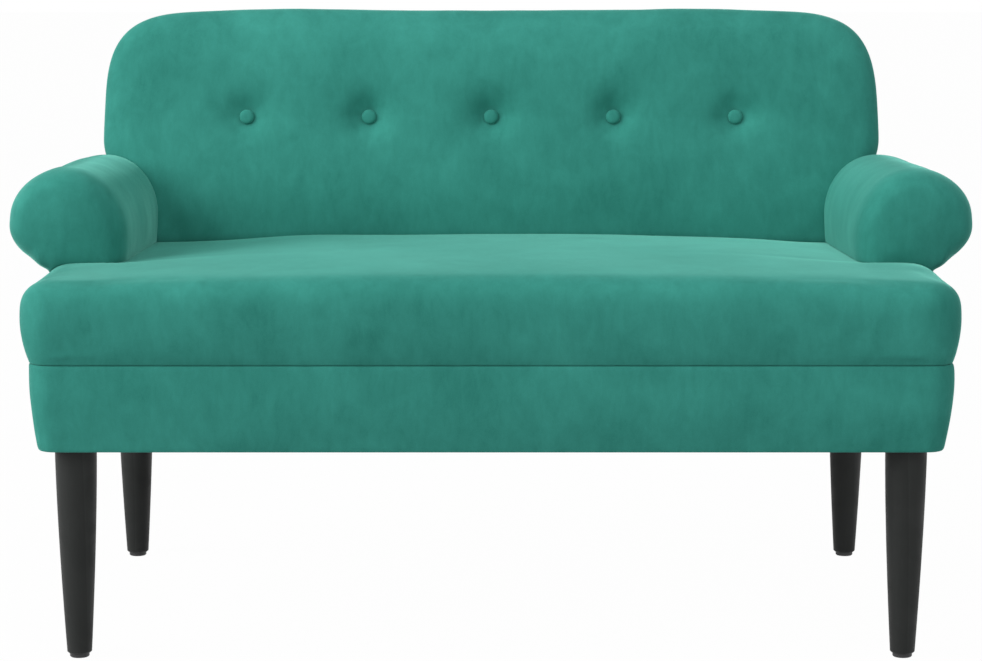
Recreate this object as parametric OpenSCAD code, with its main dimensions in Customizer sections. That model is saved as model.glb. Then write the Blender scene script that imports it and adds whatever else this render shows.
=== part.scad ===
// Two-seat upholstered settee with rolled arms, a leaning button-tufted back and four tapered legs.
// Millimetres. The front faces -Y, +X is the sitter's side of the viewer's right, +Z is up.
// The origin lies on the floor under the middle of the whole settee.

/* [Seat base] */
// Width of the base band at its bottom edge
base_w = 1037; // [980:1:1100]
// Depth of the base band at its bottom edge
base_d = 642; // [620:1:700]
// Radius of the base's corners seen from above, at the bottom edge
base_corner_r = 22; // [16:1:40]
// Height of the base band from its bottom edge to the seam under the seat
band_h = 101.5; // [85:0.5:140]
// How far the band swells out past its bottom edge
band_swell = 10.5; // [8:0.5:16]
// How far the seam between band and seat is drawn in from the band's swell
seam_draw = 4; // [2:0.5:6]

/* [Seat cushion] */
// Height from the seam to the flat rim of the seat that the arms and back stand on
seat_h = 92; // [70:1:130]
// How far the seat cushion swells out past the bottom edge of the band
seat_swell = 19.3; // [16:0.1:24]
// Radius of the cushion's soft top edge
seat_edge_r = 28; // [20:1:32]
// Rise of the crowned middle of the seat over its rim
seat_crown = 12; // [4:1:25]
// Thickness of the padded cover above the foam block
seat_wadding = 15; // [10:1:25]
// Distance from the front of the cushion's swell to the front of the foam block
seat_front_wadding = 42; // [35:1:60]

/* [Wooden seat frame] */
// Thickness of the front, rear, side and cross rails
rail_t = 18; // [15:1:20]
// Gap between the band's bottom edge and the outer face of the rails
band_wall = 5.5; // [4:0.5:8]
// Height of the cross rail in the middle of the base
cross_rail_h = 70; // [50:1:80]
// Length of each corner block along the rails
block_l = 80; // [70:1:95]
// Height of each corner block
block_h = 40; // [30:1:60]

/* [Webbing] */
// Width of a webbing strap
strap_w = 50; // [40:1:60]
// Thickness of a webbing strap
strap_t = 2; // [1.5:0.1:3]
// Distance between the straps that run from front to rear
strap_pitch = 140; // [130:1:150]
// Number of straps that run from front to rear
strap_count = 5; // [3:2:5]

/* [Legs] */
// Height of a leg above its glide
leg_h = 240.5; // [120:0.5:320]
// Radius at the top of a leg
leg_top_r = 24; // [18:0.5:28]
// Radius at the foot of a leg
leg_foot_r = 14.2; // [12.5:0.1:18]
// How sharply the leg tapers towards its foot
leg_taper = 1.5; // [1.1:0.1:2.5]
// Distance from the band's bottom edge to the middle of a leg
leg_inset = 40.5; // [36:0.5:46]
// Radius of a glide
glide_r = 11.3; // [9:0.1:12]
// Height of a glide
glide_h = 5; // [3:0.5:8]
// Radius of the stud that joins a leg to its corner block
stud_r = 4; // [3:0.5:5]
// Depth of the stud in the leg
stud_depth = 60; // [40:1:80]

/* [Arms] */
// Distance from the base's side edge in to the inner face of an arm
arm_inset = 78.5; // [73:0.5:82]
// Distance from the front of the seat's swell to the front face of an arm
arm_setback = 226; // [200:1:236]
// Half of the width of the roll
roll_rx = 69.5; // [66:0.5:76]
// Height of the roll's upper half
roll_rz = 60.5; // [54:0.5:72]
// Height of the roll's lower half
roll_low = 62.5; // [56:0.5:64]
// Height of the middle of the roll above the seat's rim
roll_rise = 51.5; // [50:0.5:70]
// How much lower the top of the roll is where it meets the back
roll_drop = 7; // [0:0.5:9]
// How much half of the roll's width shrinks towards the back
roll_taper = 5; // [0:0.5:7]
// Radius of the soft front edge of an arm
arm_edge_r = 22; // [14:1:28]
// Thickness of the padded cover round the wooden arm frame
arm_wadding = 16; // [12:1:22]
// Distance from an arm's front face to its front board
arm_front_wadding = 27; // [24:1:40]
// Thickness of an arm's front and rear boards
arm_board_t = 18; // [15:1:22]
// Distance from an arm's rear board to the back's front plane at the seat
arm_rear_gap = 62; // [50:1:90]
// Width of the tang that runs down inside the seat from each board
tang_w = 25.7; // [20:0.1:30]

/* [Back] */
// Distance from the base's rear edge in to the back's front plane at the seat
back_setin = 133.3; // [131:0.1:142]
// Distance from the base's side edge in to the side of the back
back_inset = 8.5; // [0:0.5:28]
// Length of the back measured along its lean
back_l = 309; // [304:1:340]
// Thickness of the back
back_t = 120; // [119:1:130]
// Lean of the back from upright, in degrees
back_lean = 12.5; // [6:0.5:16]
// Radius of the back's upper corners
back_corner_r = 109; // [90:1:116]
// Radius of the back's soft front edge
back_edge_r = 30; // [20:1:34]
// Rise of the crowned front face over the front plane
back_crown = 14; // [6:1:22]
// Dip of the top edge in the middle
back_top_dip = 2.5; // [0:0.5:6]
// Thickness of the padded cover at the front of the back
back_wadding = 20; // [16:1:24]
// Thickness of the padded cover round the sides and top of the frame
back_side_wadding = 16; // [12:1:22]
// Thickness of the back's foam slab
back_foam_t = 42; // [38:1:43]
// Thickness of the fabric-covered panel that closes the back
panel_t = 8; // [5:0.5:9]

/* [Buttons] */
// Number of buttons in the row
button_count = 5; // [3:2:5]
// Distance between the buttons
button_pitch = 159.5; // [150:0.5:166]
// Height of the buttons along the lean
button_v = 159.5; // [146:0.5:164]
// Radius of a button
button_r = 9.6; // [8:0.1:14]
// Thickness of a button
button_t = 8; // [5:0.5:10]
// Depth of the tuft from the front plane of the back to the seat of a button
tuft_floor = 2; // [0:0.5:5]

/* [Back frame] */
// Width of a post
post_w = 40; // [35:1:50]
// Thickness of the posts and stiles
post_t = 28; // [24:1:30]
// Distance from the side of the back in to the middle of a post
post_inset = 130; // [125:1:140]
// Width of a stile at the back's side
stile_w = 30; // [25:1:35]
// Height of the top, middle and bottom rails of the back
back_rail_h = 60; // [56:1:64]

/* [Fasteners] */
// Radius of an arm or back bolt
bolt_r = 3; // [2.5:0.5:3]
// Radius of a frame screw
screw_r = 2; // [1.5:0.5:2.5]
// Radius of the thread that holds a button
twine_r = 1; // [0.8:0.1:1.4]

/* [Hidden] */
$fn = 48;

// Colours
velvet = [0.21, 0.54, 0.47];
velvet_dark = [0.18, 0.48, 0.42];
leg_black = [0.16, 0.17, 0.17];
cloth_black = [0.10, 0.10, 0.11];
pine = [0.80, 0.66, 0.46];
plywood = [0.74, 0.58, 0.40];
foam_cream = [0.93, 0.90, 0.78];
strap_tan = [0.62, 0.52, 0.38];
zinc = [0.72, 0.74, 0.76];

// Clearance between a cover and what it wraps, and round what passes through it
fit = 0.3;
// Clearance of a bolt, screw or stud in its hole
hole_gap = 0.1;

// Heights
sheet_t = 1;
dust_z = glide_h + leg_h;
base_z = dust_z + sheet_t;
rail_z = base_z + sheet_t;
seam_z = base_z + band_h;
rail_top_z = seam_z - 2 * strap_t;
rim_z = seam_z + seat_h;
foam_top_z = rim_z - seat_wadding;

// Half sizes of the base at its bottom edge, and the faces of the rails
half_w = base_w / 2;
half_d = base_d / 2;
arm_inner_x = half_w - arm_inset;
back_half_w = half_w - back_inset;
post_x = back_half_w - post_inset;
rail_out_x = half_w - band_wall;
rail_out_y = half_d - band_wall;
rail_in_x = rail_out_x - rail_t;
rail_in_y = rail_out_y - rail_t;
leg_x = half_w - leg_inset;
leg_y = half_d - leg_inset;

// Lines along the depth, from the middle of the base
seat_front_y = -half_d - seat_swell;
back_y = half_d - back_setin;
arm_y = seat_front_y + arm_setback;
foam_front_y = seat_front_y + seat_front_wadding;

// Layers of the back, measured square to its lean from the front plane
foam_w = back_wadding;
strap_w0 = foam_w + back_foam_t;
back_rail_w = strap_w0 + strap_t;
post_w0 = back_rail_w + rail_t;
panel_w = post_w0 + post_t;
pocket_l = back_l - back_side_wadding;

// A point of the back's section at depth w and length v along the lean, as [y, z]
function lean_point(w, v) = [
    back_y + w * cos(back_lean) + v * sin(back_lean),
    rim_z - w * sin(back_lean) + v * cos(back_lean)];

// Y of the back's front plane at height z
function front_plane_y(z) = back_y + (z - rim_z) * tan(back_lean);

// Rear face and front face of the foot of a post, and the rear end of the seat foam
post_foot_d = post_t / cos(back_lean);
post_front_y = rail_in_y - post_foot_d;
foam_gap = 10;
foam_rear_y = post_front_y - foam_gap;

// The two boards of an arm
board_1_y = arm_y + arm_front_wadding;
board_2_y = back_y - arm_rear_gap - arm_board_t;
roll_x = arm_inner_x + roll_rx;
roll_z = rim_z + roll_rise;
tang_x = rail_in_x - tang_w;
// Gap under the tangs of the arms and the feet of the posts
tang_rise = 12;
tang_z = rail_z + tang_rise;

// Heights of the bolts in the side rails and the rear rail
bolt_rises = [40, 72];
bolt_zs = [for (h = bolt_rises) rail_z + h];
button_xs = [for (i = [0:button_count - 1]) (i - (button_count - 1) / 2) * button_pitch];

// Soft forms
// A point of a rounded rectangle with half sizes a and b and corner size r. Lines u and v run
// straight from -1 to 1 and turn the corner from 1 to 2. A larger power n squares the corner.
function round_point(u, v, a, b, r, n = 2) =
    let (p = max(abs(u) - 1, 0), q = max(abs(v) - 1, 0), m = max(p, q))
    let (l = pow(pow(p, n) + pow(q, n), 1 / n), k = l > 0 ? m / l : 1)
    [sign(u) * ((a - r) * min(abs(u), 1) + r * p * k),
     sign(v) * ((b - r) * min(abs(v), 1) + r * q * k)];

// The grid's border as [i, j] pairs, once round
function border(nu, nv) = concat(
    [for (i = [0:nu - 2]) [i, 0]], [for (j = [0:nv - 2]) [nu - 1, j]],
    [for (i = [nu - 1:-1:1]) [i, nv - 1]], [for (j = [nv - 1:-1:1]) [0, j]]);

// Triangles of a grid of nu by nv points
function grid_faces(nu, nv) = [for (j = [0:nv - 2], i = [0:nu - 2])
    let (a = j * nu + i, b = a + 1, c = b + nu, d = a + nu) each [[a, d, c], [a, c, b]]];

// Triangles between two loops of n points that start at s and t
function band_faces(s, t, n) = [for (i = [0:n - 1])
    let (k = (i + 1) % n) each [[s + i, s + k, t + k], [s + i, t + k, t + i]]];

// Triangles from the border of the grid to the first loop, which starts at t
function rim_faces(nu, nv, t) = let (e = border(nu, nv), n = len(e)) [for (i = [0:n - 1])
    let (k = (i + 1) % n, s0 = e[i][1] * nu + e[i][0], s1 = e[k][1] * nu + e[k][0])
    each [[s0, s1, t + k], [s0, t + k, t + i]]];

// A closed form: a grid on top, loops down its side and a flat end with a middle point
module soft_form(grid, nu, nv, loops, end_point) {
    n = len(loops[0]);
    g = nu * nv;
    last = g + (len(loops) - 1) * n;
    tip = g + len(loops) * n;
    side = [for (k = [0:len(loops) - 2]) each band_faces(g + k * n, g + (k + 1) * n, n)];
    end_faces = [for (i = [0:n - 1]) [tip, last + i, last + (i + 1) % n]];
    polyhedron(points = concat(grid, [for (l = loops) each l], [end_point]),
        faces = concat(grid_faces(nu, nv), rim_faces(nu, nv, g), side, end_faces), convexity = 8);
}

// A closed form of loops only, with a middle point at each end
module looped_form(start_point, loops, end_point) {
    n = len(loops[0]);
    last = (len(loops) - 1) * n;
    tip = len(loops) * n;
    side = [for (k = [0:len(loops) - 2]) each band_faces(k * n, (k + 1) * n, n)];
    start_faces = [for (i = [0:n - 1]) [tip, (i + 1) % n, i]];
    end_faces = [for (i = [0:n - 1]) [tip + 1, last + i, last + (i + 1) % n]];
    polyhedron(points = concat([for (l = loops) each l], [start_point, end_point]),
        faces = concat(start_faces, side, end_faces), convexity = 8);
}

// Lines of the base and seat across their width and depth
rim_run_x = half_w - base_corner_r;
rim_run_y = half_d - base_corner_r;
// Distance in front of the back over which the crown runs out
crown_stop = 12;
seat_us = [-2, -1.5, -1, for (k = [-1, -0.85, -0.6, -0.3, 0, 0.3, 0.6, 0.85, 1]) k * arm_inner_x / rim_run_x,
    1, 1.5, 2];
seat_vs = [-2, -1.5, -1, -0.75, -0.45, -0.15, 0.15, 0.4, (back_y - crown_stop) / rim_run_y, 0.85, 1, 1.5, 2];
band_us = [-2, -1.67, -1.33, -1, 0, 1, 1.33, 1.67, 2];
band_vs = band_us;

// One loop round the base, set out by s from its bottom edge, at height z
function base_loop(us, vs, s, z) = [for (e = border(len(us), len(vs)))
    let (p = round_point(us[e[0]], vs[e[1]], half_w + s, half_d + s, base_corner_r + s)) [p[0], p[1], z]];

// Line across the seat where it is fullest, and how far from there it has lost crown_loss of its rise
full_y = -80;
crown_reach = 270;
crown_loss = 0.6;

// Rise of the seat at a place: full a little in front of the middle, none under the arms and back
function seat_rise(x, y) = let (across = 1 - pow(min(abs(x) / arm_inner_x, 1), 2.5))
    let (along = max(1 - crown_loss * pow((y - full_y) / crown_reach, 2), 1 - crown_loss))
    let (stop = min(max((back_y - y) / crown_stop, 0), 1)) seat_crown * across * along * stop;

// The seat's side as [set in from its swell, share of its height], below its round top edge
seat_side = [[0, 0.58], [2, 0.35], [5.5, 0.15], [9, 0.02], [seat_swell - band_swell + seam_draw, 0]];
edge_steps = [22.5, 45, 67.5, 90];

module seat_form() {
    s0 = seat_swell - seat_edge_r;
    grid = [for (v = seat_vs, u = seat_us)
        let (p = round_point(u, v, half_w + s0, half_d + s0, base_corner_r + s0))
        [p[0], p[1], rim_z + seat_rise(p[0], p[1])]];
    top_loops = [for (a = edge_steps) [for (e = border(len(seat_us), len(seat_vs)))
        let (s = s0 + seat_edge_r * sin(a), u = seat_us[e[0]], v = seat_vs[e[1]])
        let (p = round_point(u, v, half_w + s, half_d + s, base_corner_r + s))
        let (q = round_point(u, v, half_w + s0, half_d + s0, base_corner_r + s0))
        [p[0], p[1], rim_z + seat_rise(q[0], q[1]) * cos(a) - seat_edge_r * (1 - cos(a))]]];
    side_loops = [for (k = seat_side) base_loop(seat_us, seat_vs, seat_swell - k[0], seam_z + k[1] * seat_h)];
    soft_form(grid, len(seat_us), len(seat_vs), concat(top_loops, side_loops), [0, 0, seam_z]);
}

// The band's side as [set out from the bottom edge, share of its height], from top to bottom
band_side = [[band_swell - seam_draw, 1], [band_swell - 0.5, 0.92], [band_swell, 0.77],
    [band_swell * 0.8, 0.52], [band_swell * 0.4, 0.22], [0, 0.04], [-2.5, 0]];

module band_form() {
    loops = [for (k = band_side) base_loop(band_us, band_vs, k[0], base_z + band_h * k[1])];
    looped_form([0, 0, seam_z], loops, [0, 0, base_z]);
}

// Back
back_half_l = back_l / 2;
back_grid_a = back_half_w - back_edge_r;
back_grid_b = back_half_l - back_edge_r;
back_grid_r = back_corner_r - back_edge_r;
back_run_x = back_grid_a - back_grid_r;
back_run_v = back_grid_b - back_grid_r;
tuft_steps = [-30, -12, 0, 12, 30];
// Grid lines across the back: the corners, the tufts and the middle of each space between tufts
back_us = concat([-2, -1.7, -1.35, -1],
    [for (i = [0:button_count - 1]) each concat([for (s = tuft_steps) (button_xs[i] + s) / back_run_x],
        i < button_count - 1 ? [(button_xs[i] + button_pitch / 2) / back_run_x] : [])],
    [1, 1.35, 1.7, 2]);
back_vs = concat([-2, -1.75, -1.5, -1.25, -1],
    [for (s = [-28, -12, 0, 12, 28]) (button_v - back_half_l + s) / back_run_v],
    [1, 1.25, 1.5, 1.75, 2]);

// Power that squares a corner: the lower corners are square
function corner_power(v) = v < 0 ? 60 : 2;

// How far a tuft's pull is felt past the button
tuft_reach = 20;

// Pull of the nearest tuft at a place on the front, from 0 to 1, flat under the button
function tuft_pull(x, v) = max([for (b = button_xs)
    let (d = norm([x - b, v - button_v])) exp(-pow(max(d - button_r, 0) / tuft_reach, 2))]);

// Depth of the front face: crowned, and drawn in to the floor of each tuft
function front_depth(x, v) = let (across = 1 - pow(min(abs(x) / (back_grid_a), 1), 4))
    let (along = 1 - pow(abs(v / back_l * 2 - 1), 3), crown = -back_crown * across * max(along, 0))
    crown + (tuft_floor - crown) * tuft_pull(x, v);

// Drop of the top edge towards the middle, which starts this far from the middle
dip_half_w = 320;
function top_dip(x, v) = back_top_dip * max(v / back_l - 0.5, 0) * 2
    * (1 - pow(min(abs(x) / dip_half_w, 1), 2));

// A point of the back in the settee's frame: its foot is level with the seat's rim
function back_point(x, v, w) = let (foot = w * tan(back_lean))
    let (length = foot + v * (back_l - foot) / back_l - top_dip(x, v), q = lean_point(w, length))
    [x, q[0], q[1]];

// One loop round the back, drawn in by s from its outline, at depth w
function back_loop(s, w) = [for (e = border(len(back_us), len(back_vs)))
    let (u = back_us[e[0]], v = back_vs[e[1]], n = corner_power(v))
    let (p = round_point(u, v, back_half_w - s, back_half_l - s, back_corner_r - s, n))
    back_point(p[0], p[1] + back_half_l - (v < 0 ? s * max(abs(v) - 1, 0) : 0), w)];

back_rear_r = 7;
back_loops = concat(
    [for (a = [30, 60, 90]) back_loop(back_edge_r * (1 - sin(a)), back_edge_r * (1 - cos(a)))],
    [back_loop(0, back_t - back_rear_r), back_loop(back_rear_r, back_t)]);
back_end = back_point(0, back_half_l, back_t);

// The whole settee's front and rear, which put the origin in the middle
rear_y = max([for (l = back_loops, p = l) p[1]]);
middle_y = (rear_y + seat_front_y) / 2;

module back_form() {
    grid = [for (v = back_vs, u = back_us)
        let (p = round_point(u, v, back_grid_a, back_grid_b, back_grid_r, corner_power(v)))
        let (low = v < 0 ? back_edge_r * max(abs(v) - 1, 0) : 0, l = p[1] + back_half_l - low)
        back_point(p[0], l, front_depth(p[0], l))];
    soft_form(grid, len(back_us), len(back_vs), back_loops, back_end);
}

// How far the plates that cut pockets reach down past the seat's rim, along the back and in an arm
back_plate_reach = 60;
arm_plate_reach = 20;

// Outline of the back's frame, drawn in by s, as a plate from depth w0 to w1 that reaches under the seat's rim
module back_plate(s, w0, w1) {
    v0 = -back_plate_reach;
    r = back_corner_r - s;
    a = back_half_w - s;
    arc = [for (t = [0:7.5:90]) [a - r + r * cos(t), back_l - s - r + r * sin(t)]];
    outline = concat([[a, v0]], arc, [for (i = [len(arc) - 1:-1:0]) [-arc[i][0], arc[i][1]]], [[-a, v0]]);
    translate([0, back_y, rim_z]) rotate([-back_lean, 0, 0]) translate([0, w1, 0]) rotate([90, 0, 0])
        linear_extrude(height = w1 - w0) polygon(outline);
}

// A bar across the lean: x0 to x1, v0 to v1 along the lean, w0 to w1 in depth
module lean_bar(x0, x1, v0, v1, w0, w1) {
    translate([0, back_y, rim_z]) rotate([-back_lean, 0, 0]) translate([x0, w0, v0])
        cube([x1 - x0, w1 - w0, v1 - v0]);
}

// A rod square to the lean, from depth w0 to w1
module lean_rod(x, v, w0, w1, r) {
    translate([0, back_y, rim_z]) rotate([-back_lean, 0, 0]) translate([x, w0, v]) rotate([-90, 0, 0])
        cylinder(r = r, h = w1 - w0);
}

// A block with round upright corners, centred on the base
module round_block(a, b, r, z0, z1) {
    arc = [for (t = [0:15:90]) [a - r + r * cos(t), b - r + r * sin(t)]];
    back = [for (k = [len(arc) - 1:-1:0]) arc[k]];
    translate([0, 0, z0]) linear_extrude(height = z1 - z0) polygon(concat(arc,
        [for (p = back) [-p[0], p[1]]], [for (p = arc) [-p[0], -p[1]]], [for (p = back) [p[0], -p[1]]]));
}

// Everything above the level that the back stands on
module above_rim() {
    translate([-base_w / 2, back_y - back_t, rim_z + fit]) cube([base_w, 2 * back_l, 2 * back_l]);
}

// Arms, drawn for the viewer's right and mirrored for the left
// Distance from the middle of the roll out to the neck between the roll and the seat
neck_out = 23.5;
arm_neck_x = roll_x + neck_out;
seat_edge_x = half_w + seat_swell - seat_edge_r;
seat_edge_z = rim_z - seat_edge_r;
lip_w = 2;
lip_h = 6;

// Angles round the roll, from its lower outer side over the top to its inner side
roll_start = -55;
roll_end = 175;
roll_step = 10;

// The roll of an arm drawn in by s, as [x, z] points from its lower outer side over the top to its inner side.
// It is full at the front, where rear is 0, and smaller at the back, where rear is 1.
function roll_points(s, rear = 0) =
    let (rx = roll_rx - s - rear * roll_taper, top = roll_rz - s - rear * roll_drop)
    concat([for (t = [roll_start:roll_step:roll_end])
        [arm_inner_x + s + rx * (1 + cos(t)), roll_z + (t > 0 ? top : roll_low - s) * sin(t)]],
        [[arm_inner_x + s, roll_z - roll_low * 0.45]]);

// Foot of an arm's cover, from its inner side out over the seat's rim and round the seat's soft edge to a lip
function foot_points(s) = let (r = seat_edge_r + fit, neck_x = arm_neck_x - s / 4)
    let (turn = asin((neck_x - lip_w - seat_edge_x) / r), lip_z = seat_edge_z + r * cos(turn))
    concat([[arm_inner_x + s, rim_z + fit]],
        [for (k = [0:3]) [seat_edge_x + r * sin(turn * k / 3), seat_edge_z + r * cos(turn * k / 3)]],
        [[neck_x - lip_w / 2, lip_z], [neck_x, lip_z + lip_h]]);

function arm_section(s, rear = 0) = concat(roll_points(s, rear), foot_points(s));

// Section of the wooden frame of an arm, drawn in by s, down to the height foot
function frame_section(s, foot) = concat(roll_points(s), [[arm_inner_x + s, foot], [arm_neck_x - s, foot]]);

// Middle of an arm's front face, and how far the face is pillowed there
arm_mid = [roll_x, roll_z - 6];
arm_pillow = 4;

module arm_form() {
    half_loop = [for (p = arm_section(arm_edge_r)) [(p[0] + arm_mid[0]) / 2, arm_y - arm_pillow * 0.75,
        (p[1] + arm_mid[1]) / 2]];
    edge_loops = [for (a = [0:30:90]) [for (p = arm_section(arm_edge_r * (1 - sin(a))))
        [p[0], arm_y + arm_edge_r * (1 - cos(a)), p[1]]]];
    rear = [for (p = arm_section(0, 1)) [p[0], front_plane_y(p[1]) - fit, p[1]]];
    looped_form([arm_mid[0], arm_y - arm_pillow, arm_mid[1]], concat([half_loop], edge_loops, [rear]),
        [arm_mid[0], front_plane_y(arm_mid[1]) - fit, arm_mid[1]]);
}

// Plate of the arm's inner outline between two depths
module arm_plate(s, y0, y1, foot) {
    translate([0, y1, 0]) rotate([90, 0, 0]) linear_extrude(height = y1 - y0) polygon(frame_section(s, foot));
}

module on_side(side) {
    if (side < 0) mirror([1, 0, 0]) children();
    else children();
}

module framed() {
    translate([0, -middle_y, 0]) children();
}

module rod_z(x, y, z0, z1, r) {
    translate([x, y, z0]) cylinder(r = r, h = z1 - z0);
}

module block(x0, x1, y0, y1, z0, z1) {
    translate([x0, y0, z0]) cube([x1 - x0, y1 - y0, z1 - z0]);
}

// Seat frame
screw_l = 45;
screw_head_r = 2 * screw_r;
block_screw_z = rail_z + block_h / 2;
block_screw_in = block_l / 2;
// Distance of the cross rail's screws from its lower and upper edge
cross_screw_in = 18;
cross_screw_zs = [rail_z + cross_screw_in, rail_z + cross_rail_h - cross_screw_in];
nut_flange_t = 1.2;
nut_flange_r = bolt_r + 5;
nut_barrel_r = bolt_r + 1.5;
nut_l = 10;
washer_t = 1.5;
washer_r = bolt_r + 5;
bolt_head_r = 2 * bolt_r;
bolt_head_h = 4;
board_mids = [board_1_y + arm_board_t / 2, board_2_y + arm_board_t / 2];

// A countersunk screw that points along +Z, with its head's face at z = 0
module screw(gap = 0) {
    rotate_extrude() polygon([[0, 0], [screw_head_r + gap, 0], [screw_r + gap, screw_r],
        [screw_r + gap, screw_l + gap], [0, screw_l + gap]]);
}

// The screws of the seat frame: each rail into its corner blocks, and the long rails into the cross rail
module seat_screws(gap = 0) {
    for (sx = [-1, 1], sy = [-1, 1]) {
        translate([sx * rail_out_x, sy * (rail_in_y - block_screw_in), block_screw_z]) rotate([0, -90 * sx, 0])
            screw(gap);
        translate([sx * (rail_in_x - block_screw_in), sy * rail_out_y, block_screw_z]) rotate([90 * sy, 0, 0])
            screw(gap);
    }
    for (sy = [-1, 1], z = cross_screw_zs)
        translate([0, sy * rail_out_y, z]) rotate([90 * sy, 0, 0]) screw(gap);
}

// A flanged nut pressed into wood, its flange's face at z = 0 and its barrel along -Z
module press_nut(r_bore, r_barrel, r_flange, t_flange, l) {
    difference() {
        union() {
            translate([0, 0, -l]) cylinder(r = r_barrel, h = l);
            translate([0, 0, -t_flange]) cylinder(r = r_flange, h = t_flange);
        }
        translate([0, 0, -l - 1]) cylinder(r = r_bore, h = l + 2);
    }
}

// The stepped hole that a nut sits in, with the bolt's hole beyond it
module nut_seat(l_hole) {
    translate([0, 0, -nut_flange_t]) cylinder(r = nut_flange_r + hole_gap, h = nut_flange_t + 1);
    translate([0, 0, -nut_l - hole_gap]) cylinder(r = nut_barrel_r + hole_gap, h = nut_l + 1);
    translate([0, 0, -l_hole]) cylinder(r = bolt_r + hole_gap, h = l_hole);
}

// Places of the arm bolts: at the outer face of a side rail, pointing outwards
module at_arm_bolts(side) {
    for (y = board_mids, z = bolt_zs)
        translate([side * rail_out_x, y, z]) rotate([0, 90 * side, 0]) children();
}

// Places of the back bolts: at the outer face of the rear rail, pointing rearwards
module at_back_bolts() {
    for (x = [-post_x, post_x], z = bolt_zs)
        translate([x, rail_out_y, z]) rotate([-90, 0, 0]) children();
}

// A bolt whose tip is just under the nut's face, held over a wooden part of thickness t
module bolt(t) {
    under_head = rail_t + t + washer_t;
    translate([0, 0, -under_head]) cylinder(r = bolt_r, h = under_head - 1);
    translate([0, 0, -under_head - bolt_head_h]) cylinder(r = bolt_head_r, h = bolt_head_h);
}

module washer(t) {
    translate([0, 0, -rail_t - t - washer_t]) difference() {
        cylinder(r = washer_r, h = washer_t);
        translate([0, 0, -1]) cylinder(r = bolt_r + hole_gap, h = washer_t + 2);
    }
}

module long_rail(side) {
    color(pine) framed() difference() {
        block(-rail_in_x, rail_in_x, min(side * rail_in_y, side * rail_out_y),
            max(side * rail_in_y, side * rail_out_y), rail_z, rail_top_z);
        seat_screws(hole_gap);
        if (side > 0) at_back_bolts() nut_seat(rail_t + 1);
    }
}

module seat_frame_front_rail() {
    long_rail(-1);
}

module seat_frame_rear_rail() {
    long_rail(1);
}

module seat_frame_side_rail(side) {
    color(pine) framed() difference() {
        intersection() {
            on_side(side) block(rail_in_x, rail_out_x, -rail_out_y, rail_out_y, rail_z, rail_top_z);
            round_block(rail_out_x, rail_out_y, base_corner_r - band_wall, rail_z - 1, rail_top_z + 1);
        }
        seat_screws(hole_gap);
        at_arm_bolts(side) nut_seat(rail_t + 1);
    }
}

module seat_frame_cross_rail() {
    color(pine) framed() difference() {
        block(-rail_t / 2, rail_t / 2, -rail_in_y, rail_in_y, rail_z, rail_z + cross_rail_h);
        seat_screws(hole_gap);
    }
}

// Length of a corner block's blunt ends
block_end = 12;
leg_nut_flange_r = 9;
leg_nut_flange_t = 1.5;
leg_nut_barrel_r = stud_r + 1;
leg_nut_l = 10;
block_top_z = rail_z + block_h;

module at_legs() {
    for (sx = [-1, 1], sy = [-1, 1]) translate([sx * leg_x, sy * leg_y, 0]) children();
}

module seat_corner_blocks() {
    color(pine) framed() difference() {
        for (sx = [-1, 1], sy = [-1, 1]) translate([sx * rail_in_x, sy * rail_in_y, rail_z])
            linear_extrude(height = block_h) polygon([for (p = [[0, 0], [block_l, 0], [block_l, block_end],
                [block_end, block_l], [0, block_l]]) [-sx * p[0], -sy * p[1]]]);
        seat_screws(hole_gap);
        at_legs() {
            rod_z(0, 0, rail_z - 1, block_top_z + 1, stud_r + hole_gap);
            rod_z(0, 0, block_top_z - leg_nut_l - hole_gap, block_top_z + 1, leg_nut_barrel_r + hole_gap);
        }
    }
}

module seat_frame_screws() {
    color(zinc) framed() seat_screws();
}

module seat_webbing_front_to_rear() {
    color(strap_tan) framed() for (k = [0:strap_count - 1]) {
        x = (k - (strap_count - 1) / 2) * strap_pitch;
        block(x - strap_w / 2, x + strap_w / 2, -rail_out_y, rail_out_y, seam_z - strap_t, seam_z);
        for (s = [-1, 1]) on_rear(s)
            block(x - strap_w / 2, x + strap_w / 2, rail_in_y, rail_out_y, rail_top_z, seam_z - strap_t);
    }
}

module on_rear(side) {
    if (side < 0) mirror([0, 1, 0]) children();
    else children();
}

// Middles of the straps that run from side to side, clear of the arm boards' tangs
front_strap_gap = 90;
rear_strap_gap = 70;
cross_strap_ys = [board_1_y - front_strap_gap, (board_1_y + arm_board_t + board_2_y) / 2,
    board_2_y + arm_board_t + rear_strap_gap];

module seat_webbing_side_to_side() {
    color(strap_tan) framed() for (y = cross_strap_ys) {
        block(-rail_out_x, rail_out_x, y - strap_w / 2, y + strap_w / 2, rail_top_z, rail_top_z + strap_t);
        for (s = [-1, 1]) on_side(s)
            block(rail_in_x, rail_out_x, y - strap_w / 2, y + strap_w / 2, rail_top_z + strap_t, seam_z);
    }
}

// Seat upholstery
tang_gap = 7;
foam_half_x = tang_x - tang_gap;

module seat_foam() {
    color(foam_cream) framed()
        block(-foam_half_x, foam_half_x, foam_front_y, foam_rear_y, seam_z, foam_top_z);
}

// Rear face of a post where it leaves the seat
post_rear_y = max(back_y + panel_w / cos(back_lean), rail_in_y);

module seat_cover() {
    color(velvet) framed() difference() {
        seat_form();
        block(-foam_half_x - fit, foam_half_x + fit, foam_front_y - fit, foam_rear_y + fit,
            seam_z - 1, foam_top_z + fit);
        for (s = [-1, 1]) on_side(s) {
            for (y = [board_1_y, board_2_y]) block(tang_x - fit, rail_in_x + fit, y - fit,
                y + arm_board_t + fit, seam_z - 1, rim_z + seat_crown);
            block(post_x - post_w / 2 - fit, post_x + post_w / 2 + fit, post_front_y - fit,
                post_rear_y + fit, seam_z - 1, rim_z + seat_crown);
        }
    }
}

hem_w = 20;

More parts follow.
